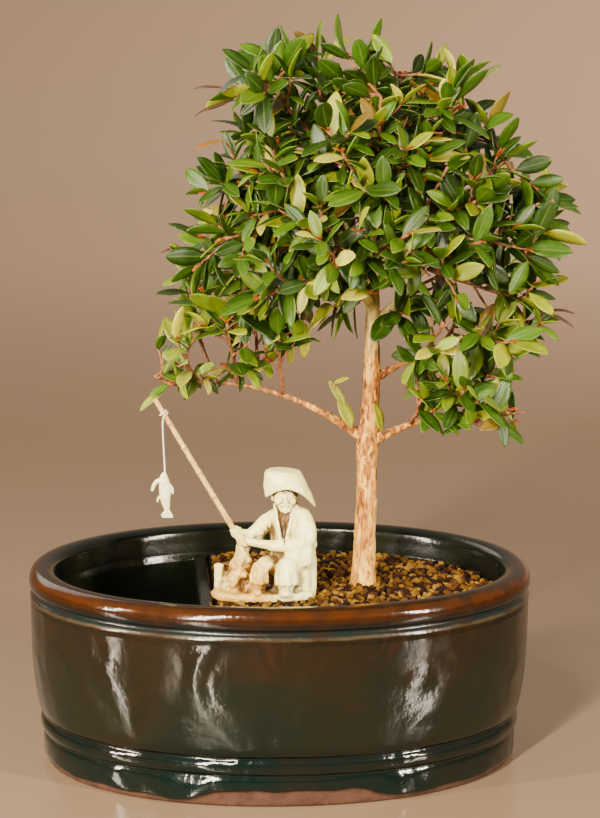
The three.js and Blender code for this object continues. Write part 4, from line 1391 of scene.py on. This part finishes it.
def figureBody(setup):
    bm = bmesh.new()
    x0, y0 = setup["baseMiddle"]
    reach = setup["baseReach"]
    levels = []
    for z, share in ((66.4, 0.99), (68.3, 1.0), (69.1, 0.97), (setup["baseTop"], 0.9)):
        ring = []
        for i in range(72):
            k, part = divmod(i / 6, 1)
            r = mixed(reach[int(k)], reach[(int(k) + 1) % 12], part)
            r *= share * (1 + 0.035 * noise.noise(Vector((i * 0.6, z, 1))))
            turn = 2 * math.pi * i / 72
            ring.append(Vector((x0 + r * math.cos(turn), y0 + 0.66 * r * math.sin(turn), z)) * mm)
        levels.append(ring)
    loftRings(bm, levels)
    for i in range(26):  # stones and grass tufts modelled on the base
        turn, far = 6.28 * draw(i, 71), 0.9 * draw(i, 72) ** 0.5
        r = 0.88 * mixed(reach[int(turn / 6.2832 * 12) % 12], 17, 0.4) * far
        size = mixed(1.1, 2.6, draw(i, 73))
        place = (x0 + r * math.cos(turn), y0 + 0.62 * r * math.sin(turn), setup["baseTop"] - 0.1 * size)
        addBall(bm, place, (size * 1.3, size, size * 0.75), (0, 0, 6.28 * draw(i, 74)), 2)

    # robe
    folds, depth = setup["folds"], setup["foldDepth"]
    loftRings(bm, [
        tiltedRing(4.4, -7, 68, 9.3, 8.7, folds=folds, depth=depth),
        tiltedRing(4.5, -7, 73, 9.3, 8.4, folds=folds, depth=depth),
        tiltedRing(4.6, -7, 80, 9.1, 7.7, folds=folds, depth=depth * 0.9),
        tiltedRing(4.5, -7, 85.6, 8.6, 7.1, folds=folds, depth=depth * 0.5),
        tiltedRing(4.4, -7, 88, 8.8, 7.0, folds=folds - 2, depth=depth * 0.5, phase=1),
        tiltedRing(4.2, -7, 93, 9.0, 6.7, folds=folds - 3, depth=depth * 0.8, phase=1.4),
        tiltedRing(3.4, -7.2, 98.4, 8.3, 5.6, folds=folds - 3, depth=depth * 0.5, phase=1.8),
        tiltedRing(2.6, -7.8, 101.6, 6, 4.6),
        tiltedRing(2.2, -8, 104, 3.6, 3.4),
    ])
    loftRings(bm, [  # sash, with a knot at the side
        tiltedRing(4.5, -7, 85.2, 9.1, 7.6), tiltedRing(4.5, -7, 86, 9.5, 7.9),
        tiltedRing(4.5, -7, 87.6, 9.5, 7.8), tiltedRing(4.5, -7, 88.3, 9.0, 7.3),
    ])
    addBall(bm, (9.4, -12.6, 86.6), (1.5, 1.2, 1.4))
    addRod(bm, [(9.6, -13, 86.4), (10.3, -14, 83), (10.1, -14.2, 79.4)], [0.8, 1.1, 1.2], flatten=0.5)
    for side, foot in ((-1, -0.9), (1, 0.9)):  # collar edges that meet low on the chest
        addRod(bm, [
            (1 + side * 3.8, -9.4, 103.4), (0.6 + side * 3.1, -12.2, 100.6),
            (0.2 + side * 2.3, -13.8, 96), (0.1 + foot, -14.4, 89.6),
        ], [0.95, 0.95, 0.9, 0.8])

    # arms in wide sleeves; the near one hangs down over the lap
    addRod(bm, [(8, -8.6, 99), (9.8, -11.4, 94), (9.4, -13.4, 90), (6, -14.8, 88.4)], [3.1, 3.5, 3.6, 3.3])
    addRod(bm, [(6, -14.8, 88.4), (0.4, -15, 88), (-4.6, -14.4, 88)], [3.2, 2.7, 2.3])
    loftRings(bm, [
        tiltedRing(6.2, -13.4, 91, 5.2, 3.6, folds=6, depth=0.35),
        tiltedRing(6, -14.4, 87, 5.9, 3.4, folds=7, depth=0.5, phase=0.4),
        tiltedRing(6, -15.2, 83, 6, 2.9, folds=7, depth=0.6, phase=0.8),
        tiltedRing(6.4, -15.6, 80.2, 5.4, 2.3, folds=7, depth=0.6, phase=1.1, tiltX=0.2),
        tiltedRing(6.5, -15.6, 79.4, 4.6, 1.7, folds=7, depth=0.5, phase=1.1, tiltX=0.2),
    ])
    addRod(bm, [(-4, -14.4, 88), (-10.2, -12.6, 88.6), (-14.2, -11.4, 89.4)], [1.9, 1.7, 1.6])
    addRod(bm, [(-1.6, -8, 98.6), (-6.2, -7.4, 95.6), (-9.4, -7.6, 92.4)], [3.4, 3.4, 3.3])
    addRod(bm, [(-9.4, -7.6, 92.4), (-12, -8.4, 91.4)], [3.2, 2.6])
    addRod(bm, [(-9, -7.8, 90), (-11.6, -8.6, 88.4)], [2.2, 1.3], flatten=0.7)
    addRod(bm, [(-12, -8.6, 91.6), (-16.4, -9.6, 92)], [1.8, 1.6])
    for k in range(3):  # creases at the bend of each sleeve
        for crease in (
            [(10.6 - k * 1.3, -14.8 - k * 0.3, 93 - k * 2), (7.8 - k * 1.2, -17.6 + k * 0.2, 91.4 - k * 1.9)],
            [(-5.4 - k * 1.5, -10.6, 97.6 - k * 1.3), (-4.6 - k * 1.4, -11, 94 - k * 1.2)],
        ):
            addRod(bm, crease, [0.5, 0.35], 8)

    # knees under the robe, whose hem ends above the shoes
    addRod(bm, [(7, -9, 77), (4, -13.6, 80), (1.6, -17, 80)], [4.8, 4.5, 4.1])
    addRod(bm, [(0, -9, 77), (-5.4, -12.2, 79.6), (-8.6, -14.2, 78.6)], [4.6, 4, 3.5])
    for x, y, z, wide in ((1.3, -17.4, 80.4, 4.2), (-9, -14.8, 78.6, 3.6)):
        loftRings(bm, [
            tiltedRing(x + 0.2, y + 1, z + 2.4, wide * 0.72, wide * 0.6),
            tiltedRing(x, y, z, wide, wide * 0.92, folds=5, depth=0.25),
            tiltedRing(x - 0.2, y - 0.6, 76, wide * 1.06, wide * 0.98, folds=8, depth=0.45, phase=0.5),
            tiltedRing(x - 0.3, y - 0.8, 73.6, wide * 1.12, wide * 1.02, folds=9, depth=0.55, phase=0.9),
            tiltedRing(x - 0.3, y - 0.6, 73.1, wide * 0.86, wide * 0.8, folds=9, depth=0.4, phase=0.9),
            tiltedRing(x - 0.3, y - 0.4, 70, wide * 0.62, wide * 0.6),
        ])
    addBall(bm, (0.3, -21, 70.5), (2.3, 4.2, 1.8), (0, 0, 0.15))
    addBall(bm, (-10.6, -18, 70.3), (2.1, 4, 1.7), (0, 0, 0.2))

    # rock under the hands, and the mooring post
    rings = []
    for i in range(13):
        share = i / 12
        z = mixed(67.4, 87.6, share)
        wide, deep = mixed(7.8, 2.5, share ** 0.8), mixed(6.4, 2.3, share ** 0.8)
        ring = tiltedRing(-17.2 + 1.4 * share, -9.6, z, wide, deep)
        for k, place in enumerate(ring):
            crag = noise.noise(Vector((place.x / mm * 0.34, place.y / mm * 0.34, z * 0.22)))
            step = abs(noise.noise(Vector((place.x / mm * 0.5, place.y / mm * 0.5, z * 0.6 + 9))))
            outward = Vector((place.x / mm + 17, place.y / mm + 9.6, 0))
            ring[k] = place + outward * (0.55 * crag - 0.5 * step) * mm
        rings.append(ring)
    loftRings(bm, rings)
    for i, (x, y, z, size) in enumerate((
        (-20.6, -12, 70.6, 3.3), (-13, -13.4, 71.2, 3), (-21.4, -8.6, 74.2, 2.8), (-15, -13, 76, 2.5),
        (-19, -12, 79.4, 2.1), (-13.8, -11, 81.4, 2.2), (-11.4, -9.6, 73, 3.2),
    )):
        addBall(bm, (x, y, z), (size, size * 0.8, size * 1.15), (0.5 * i, 0.8 * i, i), 1)
    addRod(bm, [(-24.6, -9.5, 68.6), (-24.9, -9.4, 74), (-25, -9.5, 78.2)], [2.4, 2, 1.9])
    addBall(bm, (-25, -9.5, 79), (2.1, 2.1, 0.9))
    return fusedMesh(bm, "figureBody", setup["voxel"], 4)


def figureHeadAndHands(setup):
    def beside(side, *points):
        return [(1 + side * x, y, z) for x, y, z in points]

    bm = bmesh.new()
    addBall(bm, (1.2, -9.2, 106.6), (4.5, 4.7, 5.7))
    addBall(bm, (1, -10.8, 103.6), (3.2, 3.1, 2.9))
    addBall(bm, (1.3, -6.6, 104.6), (4.3, 3.5, 4.6))  # gathered hair
    for side in (-1, 1):
        addBall(bm, (1 + side * 4.6, -9, 106.2), (0.7, 1.2, 1.6), (0, 0, 0.3 * side))
        addBall(bm, (1 + side * 1.8, -12.75, 107.1), (1.05, 0.85, 0.7))
        lid = beside(side, (1, -13.75, 107), (1.8, -13.8, 106.9), (2.6, -13.4, 107.05))
        brow = beside(side, (0.6, -13.6, 108.6), (1.8, -13.6, 109), (3.1, -12.6, 108.6))
        addRod(bm, lid, [0.14, 0.18, 0.12], 8)
        addRod(bm, brow, [0.32, 0.46, 0.28], 10)
        addBall(bm, (1 + side * 2.3, -11.9, 105.3), (1.9, 1.5, 1.9))
        addBall(bm, (1 + side * 0.62, -14.5, 105.5), (0.5, 0.5, 0.42))
        whiskers = beside(side, (0.3, -14.6, 104.6), (1.6, -14.1, 104.1), (2.6, -13.2, 102.8))
        addRod(bm, whiskers, [0.55, 0.5, 0.25], 10)
    addRod(bm, [(1, -13.7, 108.2), (1, -14.4, 106.8), (1, -15, 105.6)], [0.45, 0.55, 0.68], 12)
    addRod(bm, [(0.1, -14.1, 103.5), (1, -14.4, 103.4), (1.9, -14.1, 103.5)], [0.22, 0.36, 0.22], 8)
    for k in range(7):  # strands of the short beard
        x = 1 + (k - 3) * 0.72
        addRod(bm, [
            (x, -13.3 + abs(k - 3) * 0.35, 103.1), (mixed(x, 0.8, 0.4), -14.2 + abs(k - 3) * 0.2, 101.9),
            (mixed(x, 0.7, 0.7), -14.4, 100.5 + abs(k - 3) * 0.4),
        ], [0.85, 0.75, 0.25], 8)
    # two fists round the cane, fingers in front
    for x, z in ((-15.9, 88.9), (-18.1, 92.2)):
        addBall(bm, (x, -10.2, z), (2.3, 2.1, 2.3))
        for k in range(4):
            up = (k - 1.5) * 0.98
            addRod(bm, [
                (x + 1.9 - 0.5 * up, -11, z + 0.86 * up - 0.2),
                (x + 0.2 - 0.5 * up, -12.5, z + 0.86 * up + 0.2),
                (x - 1.6 - 0.5 * up, -11.6, z + 0.86 * up + 0.1),
            ], [0.55, 0.6, 0.48], 8)
        addRod(bm, [(x + 1.4, -9.6, z + 1.4), (x - 0.2, -9, z + 2.4)], [0.65, 0.5], 8)

    # wide hat, tipped to the back and to one side
    hat = [
        # middle, half widths, tilts, how much higher in front and behind than at the sides
        (0.3, -7, 117, 2.5, 2.3, -0.03, 0, 0), (0.3, -7, 116.9, 5.6, 5, -0.03, 0, 0),
        (0.35, -7, 116.4, 6.9, 6.1, -0.04, -0.02, 0.2), (0.8, -7, 114.8, 7.7, 6.9, -0.08, -0.04, 0.8),
        (1.4, -7, 112.8, 8.6, 7.6, -0.13, -0.07, 1.8), (2.3, -6.9, 110, 9.5, 8.2, -0.18, -0.12, 3.2),
        (3.1, -6.8, 107.6, 10, 8.6, -0.22, -0.15, 4.6), (3.3, -6.8, 106.6, 10, 8.6, -0.22, -0.15, 5.2),
        (3.3, -6.8, 106.2, 9.5, 8.2, -0.22, -0.15, 5.2), (2.8, -6.9, 108.4, 8, 7.1, -0.22, -0.15, 4),
        (2.2, -7, 111.4, 6, 5.6, -0.16, -0.1, 2),
    ]
    rings = []
    for i, (x, y, z, rx, ry, tiltX, tiltY, saddle) in enumerate(hat):
        ridge = 0.16 * (i % 2) if 1 < i < 7 else 0
        straw = {"folds": 28, "depth": 0.09} if 1 < i < 8 else {}
        rings.append(tiltedRing(x, y, z, rx + ridge, ry + ridge, tiltX, tiltY, saddle=saddle, **straw))
    loftRings(bm, rings)
    bmesh.ops.recalc_face_normals(bm, faces=bm.faces)
    return fusedMesh(bm, "figureHead", setup["fineVoxel"], 2)


def paintWashAndShade(bm, layer):
    # how closed in each point is, where a wash of glaze gathers and where painted shade darkens the hollows
    bm.normal_update()
    tree = BVHTree.FromBMesh(bm)
    ways = [evenDirection(k, 9, 0.1) for k in range(9)]
    closed = {}
    for vert in bm.verts:
        turn = vert.normal.to_track_quat("Z", "Y")
        start = vert.co + vert.normal * (0.25 * mm)
        hits = sum(1 for way in ways if tree.ray_cast(start, turn @ way, 7 * mm)[0])
        closed[vert] = hits / len(ways)
    for _ in range(2):
        evened = {}
        for vert in bm.verts:
            around = [closed[edge.other_vert(vert)] for edge in vert.link_edges]
            evened[vert] = (closed[vert] + sum(around)) / (len(around) + 1)
        closed = evened
    for vert in bm.verts:
        x, y, z = vert.co / mm
        half = clamped((z - 88.4) / 11) * 2.5
        onChest = y < -10 and 88.4 < z < 101 and abs(x - 0.3) < half and vert.normal.y < -0.3
        low = clamped((95 - z) / 17) * clamped((2 - x) / 11) * (0.2 if x < -22.6 and z > 70.5 else 1)
        vert[layer] = (closed[vert], 1 if onChest else 0, low, 1)


def makeFigureMaterial():
    material, tree, shader = newMaterial("figureGlaze")
    place = objectPlace(tree)
    washAndShade = attributeParts(tree, "washAndShade")
    blotch = noiseOf(tree, place, 130, 4, 0.6, 0.4)
    speckle = noiseOf(tree, place, 900, 3)
    color = ramp(tree, blotch, [(0.3, (0.93, 0.8, 0.22)), (0.5, (0.98, 0.92, 0.38)), (0.7, (0.99, 0.98, 0.56))])
    tan = ramp(tree, blotch, [(0.35, (0.4, 0.185, 0.012)), (0.65, (0.71, 0.41, 0.03))])
    color = blendColors(tree, times(tree, washAndShade[2], 0.9), color, tan)
    # hollows darkened towards brown: a wash of glaze and painted shade
    recess = ramp(tree, washAndShade[0], [(0.18, 0), (0.38, 0.4), (0.58, 1)])
    color = blendColors(tree, times(tree, recess, 0.93), color, (0.1, 0.038, 0.008))
    chest = ramp(tree, blotch, [(0.35, (0.06, 0.024, 0.004)), (0.65, (0.15, 0.064, 0.009))])
    setSockets(tree, shader, {
        "Base Color": blendColors(tree, washAndShade[1], color, chest),
        "Roughness": plus(tree, times(tree, speckle, 0.2), 0.16),
        "Normal": bump(tree, speckle, 0.15, 0.0005, bump(tree, blotch, 0.2, 0.002)),
        "Subsurface Weight": 0.1,
        "Subsurface Radius": (1, 0.7, 0.4),
        "Subsurface Scale": 0.001,
    })
    return material


def makeFigure(setup):
    bm = bmesh.new()
    bm.from_mesh(figureBody(setup))
    bm.from_mesh(figureHeadAndHands(setup))
    layer = colorLayer(bm, "washAndShade")
    for vert in bm.verts:  # thrown clay is never quite smooth
        place = vert.co / mm
        vert.co += vert.normal * (noise.noise(place * 0.35) * 0.18 * mm)
    paintWashAndShade(bm, layer)
    return linkPiece("fisherman", meshOf(bm, "fisherman"), makeFigureMaterial(), ["fisherman"])


figure = makeFigure(figureSetup)
print("figure made,", len(figure.data.polygons), "faces")


# The cane rod

rodSetup = {
    "radii": (1.15, 0.95),  # at the hands and at the tip
    "joints": 6,
    "ring": 0.24,
    "sides": 20,
}


def makeCaneMaterial():
    material, tree, shader = newMaterial("cane")
    lean = math.atan2(rodTip.x - rodButt.x, rodTip.z - rodButt.z)
    place = objectPlace(tree, scale=(1, 1, 0.08), turn=(0, lean, 0))
    fibre = noiseOf(tree, place, 1500, 4, 0.6)
    blotch = noiseOf(tree, objectPlace(tree), 160, 3)
    color = ramp(tree, fibre, [
        (0.3, (0.36, 0.19, 0.04)), (0.52, (0.68, 0.45, 0.12)), (0.75, (0.86, 0.68, 0.26)),
    ])
    color = blendColors(tree, ramp(tree, blotch, [(0.55, 0), (0.75, 0.6)]), color, (0.33, 0.15, 0.05))
    joint = attributeParts(tree, "joint")[0]
    color = blendColors(tree, joint, color, (0.26, 0.11, 0.035))
    setSockets(tree, shader, {
        "Base Color": color,
        "Normal": bump(tree, fibre, 0.45, 0.0003),
        "Roughness": 0.5,
    })
    return material


def makeRod(setup):
    bm = bmesh.new()
    count = 120
    points, radii, marks = [], [], []
    for i in range(count + 1):
        share = i / count
        nearest = abs(share * setup["joints"] - round(share * setup["joints"])) / setup["joints"] * 68.4
        inner = 0.5 < share * setup["joints"] < setup["joints"] - 0.5
        ring = setup["ring"] * math.exp(-((nearest / 0.75) ** 2)) if inner else 0
        waist = -0.06 * math.exp(-((nearest - 2) / 1.2) ** 2) if inner else 0
        wobble = 0.35 * math.sin(share * math.pi) * math.sin(share * 9.4)
        points.append((rodButt.lerp(rodTip, share) + Vector((0, wobble, 0))) * mm)
        radii.append((mixed(*setup["radii"], share) + ring + waist) * mm)
        marks.append((math.exp(-((nearest / 0.4) ** 2)) if inner else 0, 0, 0, 1))
    loftRings(bm, tubeRings(points, radii, setup["sides"]), values=marks, layer="joint")
    bmesh.ops.recalc_face_normals(bm, faces=bm.faces)
    return linkPiece("caneRod", meshOf(bm, "caneRod"), makeCaneMaterial(), ["rod"])


rod = makeRod(rodSetup)
print("rod made")


# The fish

fishSetup = {
    "length": 18.2,
    "over": 0.3,  # how much of the line's end is in its mouth
    "voxel": 0.16,
    # how far down, half width, half thickness and shift to the side
    "body": [
        (0, 0.55, 0.5, -0.2), (0.03, 1.0, 0.85, -0.3), (0.09, 1.5, 1.2, -0.4), (0.18, 2.0, 1.5, -0.2),
        (0.3, 2.3, 1.6, 0), (0.42, 2.3, 1.58, 0.1), (0.56, 2.1, 1.4, 0.1), (0.7, 1.6, 1.1, 0.4),
        (0.8, 1.15, 0.8, 0.7), (0.86, 1.0, 0.6, 0.9), (0.92, 1.7, 0.5, 1.0), (1, 2.3, 0.35, 1.15),
    ],
}


def makeFishMaterial():
    material, tree, shader = newMaterial("fishGlaze")
    place = objectPlace(tree)
    blotch = noiseOf(tree, place, 220, 3)
    color = ramp(tree, blotch, [(0.35, (0.86, 0.74, 0.36)), (0.6, (0.96, 0.92, 0.64))])
    scales = node(tree, "TexVoronoi", {"Vector": place, "Scale": 900.0}).outputs["Distance"]
    color = blendColors(tree, ramp(tree, scales, [(0.5, 0), (0.9, 0.35)]), color, (0.5, 0.34, 0.14))
    setSockets(tree, shader, {
        "Base Color": color,
        "Normal": bump(tree, scales, 0.35, 0.0003),
        "Roughness": plus(tree, times(tree, blotch, 0.2), 0.15),
    })
    return material


def makeFish(setup):
    mouth = linePoints[-1] + Vector((0, 0, setup["over"]))
    length = setup["length"]
    bm = bmesh.new()
    loftRings(bm, [
        tiltedRing(mouth.x + shift, mouth.y, mouth.z - down * length, rx, ry, sides=28)
        for down, rx, ry, shift in setup["body"]
    ])

    def fin(points, radii):
        route = smoothRoute([mouth + Vector(point) for point in points], 4)
        sizes = [mixed(*radii, i / (len(route) - 1)) * mm for i in range(len(route))]
        loftRings(bm, tubeRings([point * mm for point in route], sizes, 12))

    fin([(-0.8, 0, -3), (-3, 0, -3.6), (-4.4, 0, -5.4), (-4.9, 0, -7.4)], (1.05, 0.6))
    fin([(1.6, 0, -5), (2.9, 0, -6.6), (3.1, 0, -8.8)], (0.8, 0.35))
    fin([(-1.2, 0, -9), (-2.6, 0, -10.4), (-2.9, 0, -12)], (0.7, 0.3))
    fin([(0.9, 0, -15), (2.4, 0, -17), (3, 0, -17.5)], (0.75, 0.4))
    fin([(0.9, 0, -15), (-0.9, 0, -17), (-1.4, 0, -17.5)], (0.75, 0.4))
    for side in (-1, 1):
        addBall(bm, mouth + Vector((-0.5, side * 1.15, -1.9)), (0.45, 0.35, 0.45), detail=2)
        gill = ((-1.5, 1.25, -3.2), (-0.2, 1.62, -3.9), (1.2, 1.35, -3.2))
        bar = smoothRoute([mouth + Vector((x, side * y, z)) for x, y, z in gill], 3)
        loftRings(bm, tubeRings([point * mm for point in bar], [0.22 * mm] * 7, 8))
    bmesh.ops.recalc_face_normals(bm, faces=bm.faces)
    fused = fusedMesh(bm, "glazedFish", setup["voxel"], 2)
    return linkPiece("glazedFish", fused, makeFishMaterial(), ["fish"])


fish = makeFish(fishSetup)
print("fish made,", len(fish.data.polygons), "faces")


# Lights and floor

lightSetup = {
    "floor": (0.24, 0.165, 0.105),
    "satin": 0.2,  # the floor's roughness: the pot's sides mirror the lamps by way of it
    "world": ((1.0, 0.84, 0.68), 0.36),
    "lamps": [
        # name, place, aimed at, size, watts, colour, lean in degrees
        ("key", (-0.42, -0.92, 0.53), (0, 0, 0.12), (0.045, 0.78), 41, (1, 0.86, 0.66), -12),
        ("left", (-0.92, -0.43, 0.385), (0, 0, 0.1), (0.03, 0.42), 17, (1, 0.87, 0.68), -12),
        ("right", (0.76, -0.66, 0.42), (0, 0, 0.12), (0.035, 0.4), 18, (1, 0.88, 0.72), 8),
        ("back", (-1.2, 1.9, 1.5), (0, 0, 0.15), (1.4, 1.4), 14, (1, 0.9, 0.8), 0),
        ("far", (1, 1.5, 1.5), (0.9, 3.2, 0.6), (1, 1), 110, (1, 0.84, 0.74), 0),
    ],
}


def makeStage(setup):
    bm = bmesh.new()
    rings, turns = [], [k * math.tau / 120 for k in range(120)]
    for far in (0.3, 1, 1.9, 2.1, 2.3, 2.5, 2.7, 2.9, 3.1, 3.5, 4.2):  # flat, then one soft bend up all round
        height = 0.35 * clamped((far - 1.9) / 1.2) ** 2 + max(far - 3.1, 0) * 0.6
        rings.append([Vector((far * math.cos(turn), far * math.sin(turn), height)) for turn in turns])
    loftRings(bm, rings, closed=(True, False))
    bmesh.ops.recalc_face_normals(bm, faces=bm.faces)
    floor = newObject("floor", meshOf(bm, "floor"))
    material, tree, shader = newMaterial("paleFloor")
    setSockets(tree, shader, {"Base Color": (*setup["floor"], 1), "Roughness": setup["satin"]})
    floor.data.materials.append(material)
    world = bpy.data.worlds.new("studio")
    world.use_nodes = True
    background = world.node_tree.nodes["Background"]
    background.inputs["Color"].default_value = (*setup["world"][0], 1)
    background.inputs["Strength"].default_value = setup["world"][1]
    bpy.context.scene.world = world
    for name, place, aim, size, power, color, lean in setup["lamps"]:
        data = bpy.data.lights.new(name, "AREA")
        data.shape, data.size, data.size_y = "RECTANGLE", *size
        data.energy, data.color = power, color
        lamp = newObject(name, data)
        lamp.location = place
        facing = (Vector(aim) - Vector(place)).to_track_quat("-Z", "Y").to_matrix().to_4x4()
        lamp.rotation_euler = (facing @ Matrix.Rotation(math.radians(lean), 4, "Z")).to_euler()


makeStage(lightSetup)
print("floor and lights made")
